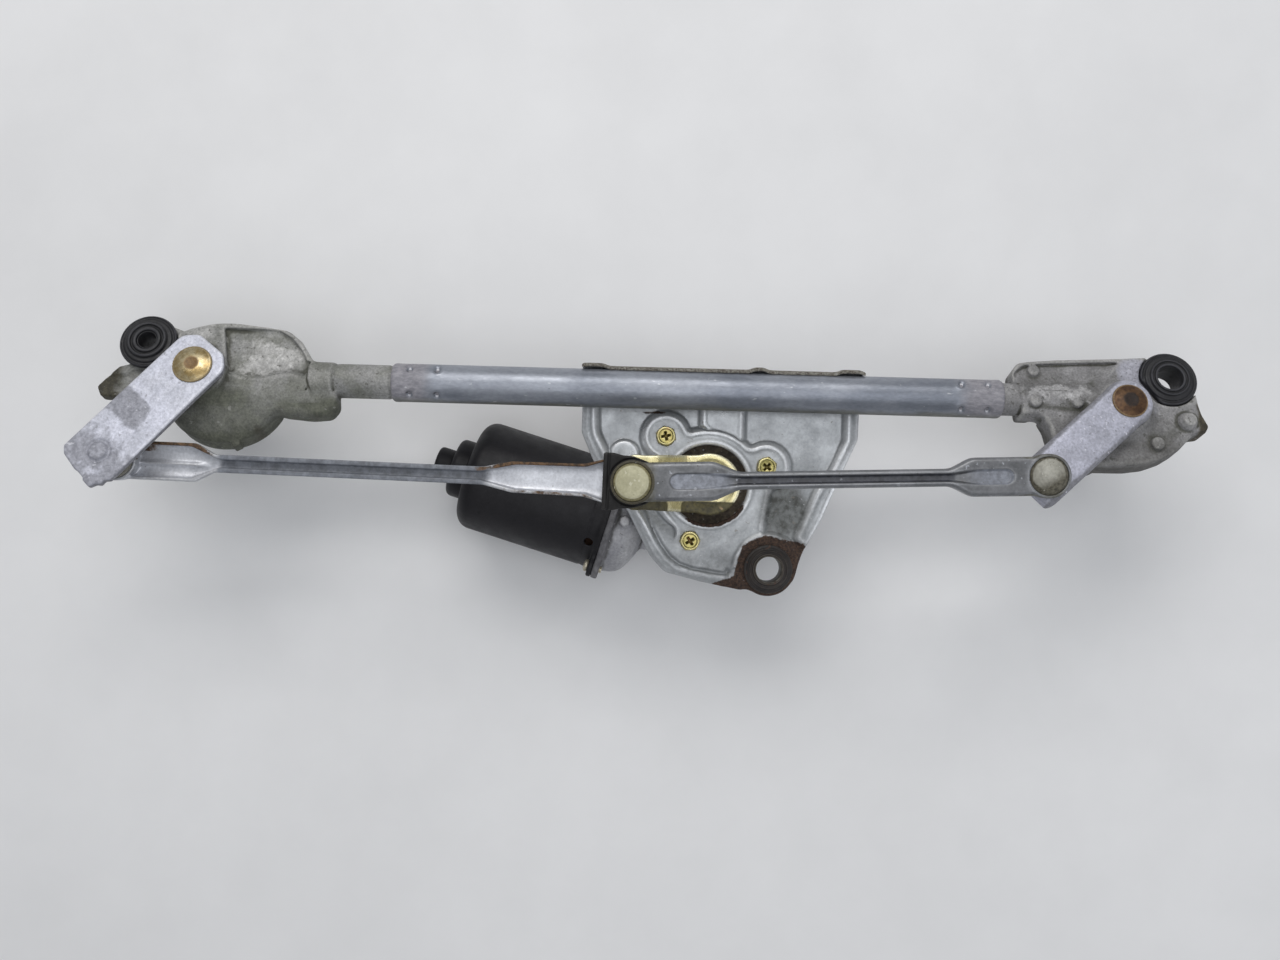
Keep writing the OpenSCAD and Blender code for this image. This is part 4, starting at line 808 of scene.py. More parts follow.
# ------------------------------------------------------------------ stamped plate
def motor_plate():
    g = Grid((-36, -119, -19.5), (128.5, 15, 6.5), (0.75, 0.75, 0.5))
    out = poly(g, fillet([(-35, 20, 0), (-35, -25, 6), (-28, -41, 12), (-7, -70, 40), (7, -96.5, 14), (15.5, -105.5, 10), (36.5, -110.5, 20), (60, -115, 6), (90, -108, 3), (97.5, -90, 3), (107, -72, 40), (119.5, -42, 30), (127, -25, 8), (127.5, 20, 0)], 6))
    out = ru(out, circ(g, LOW, 16), 3)
    base = -14.0
    isl = ru(circ(g, SCREWS[0], 13.6), circ(g, S, 32.6), 3)
    isl = ru(isl, circ(g, SCREWS[1], 14.0), 3)
    isl = ru(isl, poly(g, fillet([(22.4, -60), (22.4, -79, 2), (19, -86), (11, -91), (18, -104), (42, -110), (58, -110), (60, -98), (74, -92), (73.5, -78), (75.4, -66), (76.6, -57), (70, -50)], 3)), 3)
    ear = circ(g, LOW, 20.5)
    h = f4(base) + f4(3.0) * np.maximum(step(isl, 4.2), step(ear, 4.0))
    # the valley beside the left rim runs out softly towards the lower edge
    fill = step(g.y + f4(79), 20) * step(g.x - f4(25), 6)
    h = h + f4(0.42) * np.exp(-((isl + f4(2.6)) / 1.3) ** 2) * (ear > 2) * (1 - fill)
    h = np.maximum(h, f4(base) + f4(2.95) * fill)
    mid = poly(g, fillet([(34.6, 20), (34.6, -19.5), (40, -24), (60.2, -30), (60.2, 20)], 3))
    h = np.maximum(h, f4(base) + f4(2.2) * step(mid, 3.6) + f4(0.35) * np.exp(-((mid + f4(2.2)) / 1.2) ** 2))
    # rims along both edges
    lrim = poly(g, fillet([(-25.8, 20, 0), (-25.8, -13.8, 10), (-25.3, -24.5, 12), (-19.2, -36.3, 30), (-8, -54, 30), (4, -73.8, 30), (12.7, -89.1, 12), (18, -96.3, 8), (23.8, -100.7, 8), (32.2, -103.6, 12), (40.6, -104.6, 12), (52, -106.4, 0), (52, -140, 0), (-60, -140, 0), (-60, 20, 0)], 4))
    rrim = poly(g, fillet([(118.8, 20, 0), (119, -25.3, 8), (111.7, -42.2, 30), (102.5, -56, 30), (95.8, -72.5, 20), (91, -84, 3), (110, -100, 0), (150, -60, 0), (150, 20, 0)], 4))
    rim = np.minimum(lrim, rrim)
    h = np.maximum(h, f4(base) + f4(2.8) * step(rim, 4.4) + f4(0.45) * np.exp(-((rim + f4(2.8)) / 1.4) ** 2))
    h = h - f4(1.0) * np.exp(-((lrim - f4(0.4)) / 1.2) ** 2) * np.maximum(step(isl + f4(2), 6), fill) * (ear > 3)
    lip = f4(0.9)
    h = h - lip * step(-(out + f4(1.6)), 3.2)
    # low panel on the right, dark pocket (painted shade and soiling, in the plate's mask), round button on the left,
    # beads and a dimple
    h = h - f4(1.7) * step(poly(g, fillet([(74, 20), (74, -22), (80, -24.5), (88, -29), (93, -37), (95, -47), (106, -45), (112.5, -36), (115.4, -26), (115.6, 20)], 6)), 4.6)
    h = h - f4(2.2) * step(poly(g, fillet([(80, -54), (81, -68), (84, -75), (88.6, -76), (92, -70), (97.6, -56)], 5)), 9)
    h = np.maximum(h, f4(base) + f4(2.1) * step(circ(g, (-9.6, -37.6), 8.4), 2.8))
    ang = np.degrees(np.arctan2(g.y - f4(LOW[1]), g.x - f4(LOW[0])))
    h = h + f4(1.1) * np.exp(-((circ(g, LOW, 19.4)) / 1.5) ** 2) * (step(np.abs(ang - 118) - f4(64), 12))
    h = h - f4(1.6) * np.exp(-((circ(g, (52.5, -104.2), 0)) / 1.9) ** 2)
    # bead round the shaft hole and the seats of the screws
    h = h + f4(0.5) * np.exp(-((circ(g, S, 25.2)) / 1.5) ** 2)
    seat = np.minimum(np.minimum(circ(g, SCREWS[0], 6.6), circ(g, SCREWS[1], 6.6)), circ(g, SCREWS[2], 6.6))
    h = h + (f4(-11.0) - h) * step(seat, 1.5)
    h = h + (f4(-11.0) - h) * step(circ(g, LOW, 15.0), 3.0)
    # under the tube the sheet lies against it
    u = np.clip((g.y + f4(9.5)) / f4(5.5), 0, 1)
    u = u * u * (3 - 2 * u)
    h = h + (f4(-11.06) - h) * u
    gx, gy = np.gradient(np.broadcast_to(h, (g.n[0], g.n[1], 1))[:, :, 0], 0.75, 0.75)
    slope = np.sqrt(1 + gx**2 + gy**2)[:, :, None].astype(f4)
    t = f4(0.95)
    sheet = ri(np.abs(g.z - h + t) / slope - t, np.maximum(out, g.y - f4(0.6)), 0.5)
    # lip that goes up behind the tube, pressed out at three places
    win = lambda a, b: 1 / (1 + np.exp(-(g.x - f4(a)) / f4(0.9))) * 1 / (1 + np.exp((g.x - f4(b)) / f4(0.9)))
    bmp = win(-35.5, -21) + win(62.5, 70.8) + win(112.5, 126)
    ragged = 0.35 * np.sin(g.x * f4(0.9)) * np.sin(g.x * f4(0.37) + 1)
    hook = np.abs(np.hypot(g.y, g.z) - f4(12.05) - f4(1.5) * bmp * np.clip(g.y / 8, 0, 1)) - f4(0.95)
    hook = ri(ri(hook, np.maximum(-g.y - f4(0.3), g.z - f4(4.6) - ragged.astype(f4)), 0.5), between(g.x, -35, 127.5), 0.5)
    f = ru(sheet, hook, 0.4)
    holes = un(circ(g, S, 23), circ(g, LOW, 11), *[circ(g, s, 3.3) for s in SCREWS])
    f = cut(f, holes + 0 * g.z, 0.45)

    def rust(v):
        p = Points(v)
        r = np.clip(0.5 - poly(p, [(43.2, -111.5), (56.2, -107), (58, -98), (61.6, -87.8), (73.4, -82.2), (97.4, -87), (100, -92), (96, -104), (84, -122), (60, -122)]) / 5, 0, 1)
        a = np.degrees(np.arctan2(v[:, 1] - S[1], v[:, 0] - S[0]))
        hole = np.clip((26.4 - np.hypot(v[:, 0] - S[0], v[:, 1] - S[1])) / 2.4, 0, 1) * np.clip((22 - np.abs((a + 75 + 180) % 360 - 180) + 40) / 30, 0, 1)
        return np.maximum(np.maximum(r, hole), 0.75 * np.exp(-(((v[:, 0] - 8) / 9) ** 2 + ((v[:, 1] + 12.2) / 1.2) ** 2)))

    return solid("motor_plate_stamping", g, f, W, MT["plate"], ["motor_plate"], 0.45, {
        "rust": rust,
        # painted shade: darker towards the lower edge and on the lowest parts of the sheet, and in the pocket on the
        # right, which also carries soiling
        "soot_and_painted_shade": lambda v: np.exp(-(((v[:, 0] - 85) / 12) ** 2 + ((v[:, 1] + 65) / 15) ** 2)) * 1.7 + 0.6 * np.clip((-56 - v[:, 1]) / 40, 0, 1) + 0.35 * (v[:, 2] < -16.2),
        "fleck": lambda v: np.clip((v[:, 2] - 1.5) / 1.5, 0, 1) * (v[:, 1] > 3) + 0.4 * np.exp(-(((v[:, 0] - 8) / 10) ** 2 + ((v[:, 1] + 12.5) / 2.0) ** 2))})


# ------------------------------------------------------------------ grommets
def grommet(name, fr, mat, reps, w, fl, col, b, z0, z1, zf0, zf1, zc, flat=None):
    g = Grid((-fl - 0.5, -fl - 0.5, z0 - 1.2), (fl + 0.5, fl + 0.5, zc + 0.5), 0.5)
    top = cyl(g, fl, zf1, z1, e=2.0)
    top = cut(top, ri(np.abs(circ(g, (0, 0), (fl + col) / 2 + 0.6)) - f4(0.7), f4(z1 - 1.0) - g.z, 0), 0.6)
    if flat:
        a, d = rad(flat[0]), flat[1]
        top = ri(top, g.x * f4(math.cos(a)) + g.y * f4(math.sin(a)) - f4(d), 1.2)
    f = un(cyl(g, w, zf0 - 1, zf1 + 1, e=0.2), top, cyl(g, fl, z0, zf0, e=2.0), cyl(g, col, z0 - 0.5, z0 + 2, e=0.6))
    f = ru(f, cyl(g, col, z1 - 2, zc, e=1.4), 0.8)
    f = cut(f, ri(np.abs(circ(g, (0, 0), (col + b) / 2 + 0.2)) - f4(0.65), f4(zc - 1.3) - g.z, 0), 0.5)
    f = cut(f, cyl(g, b, -50, 50, e=0), 0.8)
    return solid(name, g, f, fr, mat, reps)


def sleeve(name, fr, mat, reps, ro, r_in, z0, z1):
    e = (ro - r_in) * 0.35
    rows = [(ro - e, z1), (ro, z1 - e), (ro, z0 + e), (ro - e, z0), (r_in + e, z0), (r_in, z0 + e), (r_in, z1 - e), (r_in + e, z1)]
    return sharp(lathe(name, rows, fr, mat, reps, 64, loop=True), 60)


# ------------------------------------------------------------------ screws
def cross_recess(g, r, z, w=0.85):
    a = un(np.maximum(np.abs(g.x) - f4(r), np.abs(g.y) - f4(w)), np.maximum(np.abs(g.y) - f4(r), np.abs(g.x) - f4(w)))
    taper = a + np.maximum(0, (f4(z) - g.z)) * f4(0.35)
    return np.maximum(taper, f4(z - 2.6) - g.z)


def hex_screw_parts(af, hh, fr_, sr, sl, rec):
    g = Grid((-fr_ - 0.8, -fr_ - 0.8, -sl), (fr_ + 0.8, fr_ + 0.8, hh + 0.2), 0.35)
    hexa = ri(poly(g, ngon(6, af, rad(30))), between(g.z, 0, hh), 0.35)
    hexa = ri(hexa, (np.hypot(g.x, g.y) - f4(af / 2 + 0.4) + (g.z - f4(hh - 0.5)) * f4(1.2)) * f4(0.64), 0.2)
    dish = cyl(g, af / 2 - 1.3, hh - 0.5, hh + 3, e=0)
    f = cut(hexa, dish, 0.4)
    f = ru(f, cyl(g, fr_, 0, 1.1, e=0.45), 0.35)
    f = cut(f, cross_recess(g, rec, hh - 0.3), 0.2)
    shank = np.hypot(g.x, g.y) - f4(sr) + f4(0.16) * (1 + np.cos(2 * math.pi * (g.z / 1.0 - np.arctan2(g.y, g.x) / (2 * math.pi))))
    f = un(f, ri(shank, between(g.z, -sl, 0.5), 0.4))
    return g, f


def many(name, g, f, frames, mat, reps, keep=1.0):
    v, q, cav = nets(g, f)
    vs, qs = [], []
    for i, fr in enumerate(frames):
        vs.append(fr.out(v))
        qs.append(q + i * len(v))
    ob = make(name, np.concatenate(vs), np.concatenate(qs))
    mark(ob, "cav", np.tile(cav, len(frames)))
    if keep < 1:
        ob.modifiers.new("thin", "DECIMATE").ratio = keep
        bpy.context.view_layer.update()
        settle(ob)
        ob.data.polygons.foreach_set("use_smooth", np.ones(len(ob.data.polygons), bool))
    return add(ob, mat, reps)


# ------------------------------------------------------------------ geared motor
def flange_face(v):
    """Outline of the joint face, across the motor's axis."""
    d = np.hypot(v.y, v.z) - f4(34.6)
    for s in (-1, 1):
        d = ru(d, np.hypot(v.y - f4(EAR[0] * s), v.z - f4(EAR[1] * s)) - f4(6), 4)
    return np.maximum(d, np.abs(v.z) - f4(33.5))


def gear_housing():
    g = Grid((-34, -127, -82), (89, -14, -6.5), 0.95)
    sc = View(g, S, 0)
    m = View(g, (FOOT[0], FOOT[1], -46.5), MA)
    f = cyl(sc, 38, -60, -31, e=3.0)
    f = ru(f, cyl(sc, 42, -60, -56, e=0.9), 1.2)
    f = ru(f, cyl(sc, 18, -36, -29, e=1.2), 3)
    f = ru(f, cyl(sc, 13, -34, -7, e=1.0), 3)
    for i in range(6):
        v = View(g, S, rad(22 + 60 * i))
        f = ru(f, ri(np.abs(v.y) - f4(1.3), np.maximum(between(v.x, 24, 37), between(g.z, -40, -29.4)), 0.5), 0.9)
    for s in SCREWS:
        f = ru(f, cyl(g, 8.5, -42, -13.05, s, 0.8), 2.5)
    # worm tunnel, throat and joint face
    r = np.hypot(m.y, m.z)
    f = ru(f, ri(r - f4(12.4), between(m.x, -46, 31), 2.0), 3)
    prof = np.interp(m.x, [-50, -46, -40, -36, -33, -30, -28, -26, -20], [33.2, 33.2, 32.2, 30.6, 28, 23, 18, 13, 12]).astype(f4)
    throat = ri(ri((r - prof) * f4(0.75), between(m.x, -48, -25), 1.0), np.abs(m.z) - f4(26), 6)
    f = ru(f, throat, 2.0)
    f = ru(f, ri(flange_face(m), between(m.x, -49.5, -45.5), 0.7), 1.6)
    # small tapped boss on the throat, with its screw
    b = View(g, (-8.4, -76.8), rad(20))
    f = ru(f, cyl(b, 4.6, -30, -19.6, e=0.8), 1.4)
    f = un(f, ri(poly(b, ngon(6, 6.0)), between(g.z, -22, -17.4), 0.5))
    f = cut(f, ri(np.abs(circ(b, (0, 0), 3.9)) - f4(0.4), f4(-20.6) - g.z, 0), 0.3)
    f = ru(f, box(g, (70, -66, -56), (88, -40, -36), 1.2), 2)
    # inside
    f = cut(f, cyl(sc, 33.5, -90, -37, e=0), 0.6)
    f = cut(f, cyl(sc, 8, -90, 0, e=0), 0.5)
    f = cut(f, ri(r - f4(9), between(m.x, -60, 28), 0), 0.4)
    f = cut(f, ri(r - f4(22), between(m.x, -60, -38), 0), 0.4)
    for s in (-1, 1):
        f = cut(f, np.maximum(np.hypot(m.y - f4(EAR[0] * s), m.z - f4(EAR[1] * s)) - f4(2.1), m.x + f4(40)), 0.3)
    return solid("gear_housing_cast", g, f, W, MT["gearbox"], ["gear_housing"], 0.35, {
        # grease and painted shade on the housing's top inside the plate's hole
        "dark": lambda v: np.clip((27 - np.hypot(v[:, 0] - S[0], v[:, 1] - S[1])) / 4, 0, 1) * (v[:, 2] > -36),
        "flange": lambda v: np.clip((-43.5 - (v[:, 0] - FOOT[0]) * math.cos(MA) - (v[:, 1] - FOOT[1]) * math.sin(MA)) / 2, 0, 1)})


def gear_cover():
    fr = W.at((S[0], S[1], 0))
    g = Grid((-43, -43, -68), (43, 43, -60), (0.7, 0.7, 0.45))
    f = ri(circ(g, (0, 0), 42), between(g.z, -62.8, -60.8), 0.6)
    f = ru(f, cone(g, 31.4, 33.6, -66, -62, e=1.2), 1.2)
    f = cut(f, cyl(g, 31, -64.2, -50, e=0), 0.8)
    # pressed star and breather on the outside
    r = np.hypot(g.x, g.y)
    star = (f4(30) - np.abs((np.degrees(np.arctan2(g.y, g.x)) + 360) % 60 - 30)) * r * f4(rad(1))
    f = cut(f, ri(ri(star - f4(2.0), between(r, 12, 27), 0.8), g.z + f4(65.3), 0), 0.8)
    f = ru(f, cyl(g, 7, -66.9, -64, e=0.7), 0.8)
    for i in range(4):
        a = rad(20 + 90 * i)
        f = cut(f, circ(g, (39.6 * math.cos(a), 39.6 * math.sin(a)), 1.7) + 0 * g.z, 0.3)
    return solid("gear_cover_pressing", g, f, fr, MT["cover"], ["gear_cover"], 0.4)


def motor_yoke():
    g = Grid((-162, -41, -34.5), (-49, 41, 34.5), 0.85)
    r = np.hypot(g.y, g.z)
    x = g.x
    f = ri(r - f4(33.6), between(x, -139, -49.55), 9.0)
    f = np.minimum(f, ri(r - f4(33.6), between(x, -110, -49.55), 0.5))
    f = ru(f, ri(r - f4(18), between(x, -150, -130), 3.4), 2.0)
    f = ru(f, ri(r - f4(9.5), between(x, -161, -145), 2.2), 1.4)
    f = ru(f, ri(flange_face(g), between(x, -52.5, -49.55), 0.6), 1.0)
    # drawn line in front of the flange
    f = cut(f, ri(np.abs(x + f4(58.5)) - f4(0.5), f4(33.2) - r, 0), 0.6)
    f = cut(f, ri(r - f4(32), between(x, -130, -40), 0), 0.4)
    f = cut(f, ri(r - f4(24), between(x, -136, -100), 0), 0.4)
    f = cut(f, ri(r - f4(16), between(x, -148, -100), 0), 0.3)
    f = cut(f, ri(r - f4(8), between(x, -159, -100), 0), 0.3)
    # drain holes near the flange
    for y, z in ((-17.5, 29.15), (17.5, -29.15)):
        ax = np.hypot(x + f4(56.4), g.y * f4(z / 34) - g.z * f4(y / 34)) - f4(2.5)
        f = cut(f, np.maximum(ax, -(g.y * f4(y / 34) + g.z * f4(z / 34))), 0.5)
    for s in (-1, 1):
        f = cut(f, np.hypot(g.y - f4(EAR[0] * s), g.z - f4(EAR[1] * s)) - f4(2.2) + 0 * x, 0.3)
    return solid("motor_yoke_can", g, f, MO, MT["can"], ["motor_yoke"], 0.35, {
        "dust": lambda v: np.clip(v[:, 2] / 40 - np.abs(v[:, 1] + 12) / 60, 0, 1) + 0.3 * (v[:, 0] > -53)})


def connector():
    g = Grid((87.5, -70, -58.5), (111, -36, -33.5), 0.5)
    f = box(g, (88.05, -67, -57), (110.05, -39, -35), 1.6)
    f = ru(f, box(g, (88.05, -68.2, -58), (91, -37.8, -34), 0.8), 0.6)
    f = un(f, box(g, (107.6, -67.7, -57.7), (110.05, -38.3, -34.3), 0.7))
    for y in (-61, -45):
        f = ru(f, box(g, (92, y - 0.8, -36), (107, y + 0.8, -34), 0.4), 0.5)
    f = ru(f, box(g, (100, -56, -36), (107, -50, -33.6), 0.6), 0.4)
    f = cut(f, box(g, (92, -64.5, -54.5), (125, -41.5, -37.5), 1.0), 0.5)
    f = un(f, box(g, (92, -53.6, -54.6), (103, -52.4, -52), 0.3))
    return solid("connector_housing_moulding", g, f, W, MT["black"], ["connector_housing"])


# ------------------------------------------------------------------ crank
def crank_arm():
    fr = W.at((S[0], S[1], 0), rz(math.pi))
    g = Grid((-18, -18, -5), (60, 18, 18), 0.6)
    t = np.clip((g.x - f4(13)) / f4(18.5), 0, 1)
    zc = f4(-1.5) + f4(16) * (t * t * (3 - 2 * t))
    dz = np.abs(g.z - zc) / np.sqrt(1 + (f4(16 / 18.5 * 1.5) * (4 * t * (1 - t))) ** 2) - f4(2.5)
    out = poly(g, fillet([(0, -17), (44, -15), (44, 15), (0, 17)], 0.1))
    out = ru(un(out, circ(g, (0, 0), 17.8)), circ(g, (44, 0), 15), 2)
    f = ri(out, dz, 1.1)
    f = cut(f, circ(g, (0, 0), 5.02) + 0 * g.z, 0.4)
    f = cut(f, circ(g, (44, 0), 5.02) + 0 * g.z, 0.4)
    # pressed ring round the hub
    f = cut(f, ri(np.abs(circ(g, (0, 0), 13.2)) - f4(0.7), f4(0.6) - g.z, 0), 0.5)
    return solid("crank_arm_forging", g, f, fr, MT["arm"], ["crank_arm"], 0.5, {
        # painted shadow of the rod on the arm's lower band, with soiling; a patch near x = 20 is left out
        "shade": lambda v: np.clip((v[:, 1] - 8.5) / 2.5, 0, 1) * (1 - np.exp(-((v[:, 0] - 20) / 4) ** 4))})


def crank_nut():
    fr = W.at((S[0], S[1], 0))
    g = Grid((-9.2, -9.2, 0.9), (9.2, 9.2, 8.7), 0.4)
    f = ri(poly(g, ngon(6, 13, rad(10))), between(g.z, 2.2, 8.4), 0.4)
    f = ri(f, (np.hypot(g.x, g.y) - f4(6.9) + (g.z - f4(7.6)) * f4(1.4)) * f4(0.58), 0.3)
    f = un(f, cyl(g, 9, 1.05, 2.5, e=0.5))
    th = np.hypot(g.x, g.y) - f4(4.05)
    f = cut(f, th + 0 * g.z, 0.5)
    return solid("crank_nut_hex", g, f, fr, MT["gold"], ["crank_nut"])


def output_shaft():
    fr = W.at((S[0], S[1], 0))
    rows = [(0, 10.0), (2.9, 10.0), (3.6, 9.4)] + [(4.0, z) for z in np.arange(9.3, 1.0, -0.125)] + [(4.0, 1.0), (4.9, 1.0), (5.0, 0.8), (5.0, -4.2), (5.9, -4.2), (6.0, -4.4), (6.0, -57.5), (5.5, -58), (0, -58)]

    def mod(i, r, z, th):
        if r == 4.0 and z > 1.2:
            ph = (z / 1.0 - th / (2 * math.pi)) % 1
            return -0.55 * np.abs(2 * ph - 1)
        return 0 * th

    return sharp(lathe("output_shaft_turned", rows, fr, MT["steel"], ["output_shaft"], 48, mod), 40)


# ------------------------------------------------------------------ push rods
DOME = {False: [(0, 7.2), (3, 7.14), (5.5, 6.85), (7.6, 6.4), (8.5, 6.05), (9.0, 5.6), (9.3, 5.2), (9.7, 4.9), (10.0, 4.5), (10.2, 4.0), (10.25, 3.5)],
        True: [(0, 7.6), (2.4, 7.5), (4.6, 7.1), (6.4, 6.5), (7.8, 5.8), (8.9, 5.0), (9.7, 4.1), (10.1, 3.6)]}


def widths(g, pts, soft=5.0):
    xs = np.array([p[0] for p in pts], float)
    ys = np.array([p[1] for p in pts], float)
    x = g.x.ravel()
    k = np.linspace(-soft, soft, 9)
    w = np.mean([np.interp(x + d, xs, ys) for d in k], 0)
    return w.astype(f4)[:, None, None]


def left_rod():
    g = Grid((8, -14, -5), (301, 14, 5.5), (0.75, 0.5, 0.42))
    w = widths(g, [[11, 13.6], [14, 12.6], [27, 9.0], [67, 8.6], [83, 5.0], [233, 5.0], [243.5, 10.8], [300, 10.8]], 1.2)
    wi = widths(g, [[11, 11.9], [14, 11.5], [26, 7.4], [65, 6.9], [85, 2.3], [231, 2.3], [246, 9.0], [300, 9.0]], 1.6)
    wall = widths(g, [[0, 2.6], [70, 2.4], [90, 1.6], [226, 1.6], [246, 2.6], [300, 2.6]], 6)
    yy = np.abs(g.y)
    o = ri(yy - w, np.maximum(-4 - g.z, g.z - wall - f4(0.12) * np.sin(g.x * f4(0.5)) * np.sin(g.x * f4(0.13))), 0.55)
    o = ri(o, (yy - w) * f4(0.72) + (-4 - g.z) * f4(0.7) + f4(1.6), 0.8)
    fold = f4(1.5) * np.exp(-((g.y - f4(1.2)) / f4(1.5)) ** 2) * np.clip((g.x - f4(236)) / f4(8), 0, 1)
    i = ri(yy - wi, f4(-2.5) - g.z + fold + np.maximum(0, yy - wi * f4(0.4)) ** 2 * f4(0.06), 1.0)
    f = cut(np.maximum(o, between(g.x, 11, LEN_L)), i, 0.5)
    # ring round the eye at the lever end, and the holes of both eyes
    ring = ri(circ(g, (LEN_L, 0), 11.9), between(g.z, -4, 4.4), 0.6)
    f = ru(f, ring, 0.8)
    f = cut(f, circ(g, (LEN_L, 0), 10.3) + 0 * g.z, 0.3)
    f = cut(f, circ(g, (0, 0), 12.6) + 0 * g.z, 0.3)
    wv = lambda v: np.interp(v[:, 0], g.x.ravel(), w.ravel())

    def rust(v):
        e = np.clip((v[:, 2] - 0.6) / 1.6, 0, 1) * (v[:, 0] < 290)
        side = np.where(v[:, 1] < 0, 1.0, np.where(v[:, 0] < 120, 0.5, 0.15))
        near = np.exp(-((v[:, 0] - 45) / 45) ** 2) + np.exp(-((v[:, 0] - 262) / 24) ** 2) + 0.35
        return np.clip(e * side * near, 0, 1.2) + 0.75 * np.exp(-((v[:, 0] - 272) / 9) ** 2) * (v[:, 1] < -5)

    return solid("left_rod_channel", g, f, LL, MT["link_l"], ["left_link_rod"], 0.5, {
        "rust": rust, "dull": lambda v: 1 / (1 + np.exp(-(v[:, 0] - 80) / 4)) * 1 / (1 + np.exp((v[:, 0] - 232) / 2))})


def right_rod():
    g = Grid((-12.5, -12.5, -5), (LEN_R + 12.5, 12.5, 5), (0.75, 0.5, 0.42))
    w = widths(g, [[-13, 10.6], [44, 10.6], [57.5, 4.8], [170, 4.8], [181, 10.5], [LEN_R + 13, 10.5]], 2.2)
    yy = np.abs(g.y)
    gw = widths(g, [[-13, 4.1], [38, 4.1], [57, 1.9], [171, 1.9], [183, 3.7], [240, 3.7]], 3)
    gd = widths(g, [[-13, 1.0], [44, 1.0], [57, 2.8], [172, 2.8], [182, 1.3], [240, 1.3]], 3)
    x = g.x
    # the pressed panel starts and ends in half rounds
    run = np.where(x < f4(24.5), np.hypot(np.maximum(f4(24.5) - x, 0), g.y) - gw, np.where(x > f4(199), np.hypot(np.maximum(x - f4(199), 0), g.y) - gw, yy - gw))
    top = f4(4.0) - gd * step(run, 1.5)
    o = ri(yy - w, np.maximum(-3 - g.z, g.z - top), 0.5)
    o = ri(o, (yy - w + g.z - f4(4)) * f4(0.71) + f4(1.1), 0.9)
    ib = ri(yy - w + f4(1.5), g.z - top + f4(1.5), 0.8)
    f = cut(np.maximum(o, between(x, 0, LEN_R)), ib, 0.4)
    for c in (0.0, LEN_R):
        f = ru(f, ri(circ(g, (c, 0), 11.9), between(g.z, -4.5, 4), 0.8), 0.8)
    for c in (0.0, LEN_R):
        f = cut(f, circ(g, (c, 0), 10.3) + 0 * g.z, 0.35)
    return solid("right_rod_channel", g, f, RL, MT["link_r"], ["right_link_rod"], 0.5, {
        # darker near both caps and on the lower side walls: soiling, and painted shade round the caps and on the sides
        "dirt_and_shade": lambda v: np.clip(np.exp(-((v[:, 0] - 2) / 14) ** 2) + 0.75 * np.exp(-((v[:, 0] - 224) / 14) ** 2) + 0.45 * (np.abs(v[:, 1]) > 4.3) * (v[:, 2] < 3.4), 0, 1),
        "panel": lambda v: np.clip((4.6 - np.hypot(v[:, 1], np.maximum(np.maximum(24.5 - v[:, 0], v[:, 0] - 199), 0))) / 0.8, 0, 1) * np.maximum(np.clip((60 - v[:, 0]) / 12, 0, 1), np.clip((v[:, 0] - 172) / 16, 0, 1)) * (v[:, 2] > 0),
        "olive": lambda v: np.clip((12.6 - np.hypot(v[:, 0], v[:, 1])) / 1.0, 0, 1) * (v[:, 2] > 0),
        "groove": lambda v: np.clip((v[:, 0] - 53) / 6, 0, 1) * np.clip((177 - v[:, 0]) / 8, 0, 1) * np.clip((3.4 - v[:, 2]) / 1.2, 0, 1) * (np.abs(v[:, 1]) < 2.6)})


def cap(name, x, mat, reps, dirt_and_shade):
    fr = RL.at((x, 0, 0))
    prof = DOME[dirt_and_shade > 0.3] + [(10.25, 3.0), (10.25, -4.5), (9.9, -5.0), (8.6, -5.0), (7.0, -4.3), (6.4, -3.4)]
    # the socket follows the ball closely
    prof += [(6.6 * math.cos(rad(a)), 6.6 * math.sin(rad(a))) for a in range(0, 90, 9)] + [(0, 6.6)]
    # the rim mask darkens the outer ring and, scaled by the cap's last argument, paints shade across the dome towards
    # one side
    ob = lathe(name, fillet(prof, 0.4, 3, closed=False), fr, mat, reps, 72, masks={
        "rim": lambda v: np.clip((np.hypot(v[:, 0], v[:, 1]) - 8.2) / 1.4, 0, 1) + dirt_and_shade * np.clip((0.5 * v[:, 0] - 0.87 * v[:, 1] + 3) / 10, 0, 1), "cav": lambda v: 0.5 * np.exp(-((np.hypot(v[:, 0], v[:, 1]) - 8.6) / 0.4) ** 2) * (v[:, 2] > 4)})
    return sharp(ob, 60)


def crank_block():
    g = Grid((-15, -16, -6), (17, 16, 6), 0.5)
    out = poly(g, fillet([(10.6, -15.8, 1), (16.5, -15.8, 1.2), (16.5, 15.8, 1.2), (10.6, 15.8, 1), (6, 14.6, 4), (0, 14.4, 4), (-10, 11, 6), (-13, 0, 10), (-10, -11, 6), (0, -14.4, 4), (6, -14.6, 4)], 2))
    f = ri(out, between(g.z, -5.6, 5.6), 0.9)
    # the rod's flared end sits between the two cheeks
    slot = np.maximum(np.maximum(f4(9.8) - g.x, np.abs(g.y) - f4(13.6)), between(g.z, -4.1, 2.8))
    f = cut(f, slot, 0.3)
    f = cut(f, ri(np.abs(circ(g, (0, 0), 12.6)) - f4(0.6), f4(4.8) - g.z, 0), 0.4)
    f = cut(f, ri(np.abs(g.x - f4(13.4)) - f4(0.5), f4(5.0) - g.z, 0) + 0 * g.y, 0.4)
    f = cut(f, np.sqrt(g.x**2 + g.y**2 + g.z**2) - f4(6.58), 0.2)
    for s in (1, -1):
        f = cut(f, np.maximum((np.hypot(g.x, g.y) - f4(4.9) - (s * g.z - f4(3.2)) * f4(0.34)) * f4(0.94), f4(2.6) - s * g.z), 0.4)
    return solid("crank_block_moulding", g, f, LL, MT["black"], ["left_link_crank_socket"])


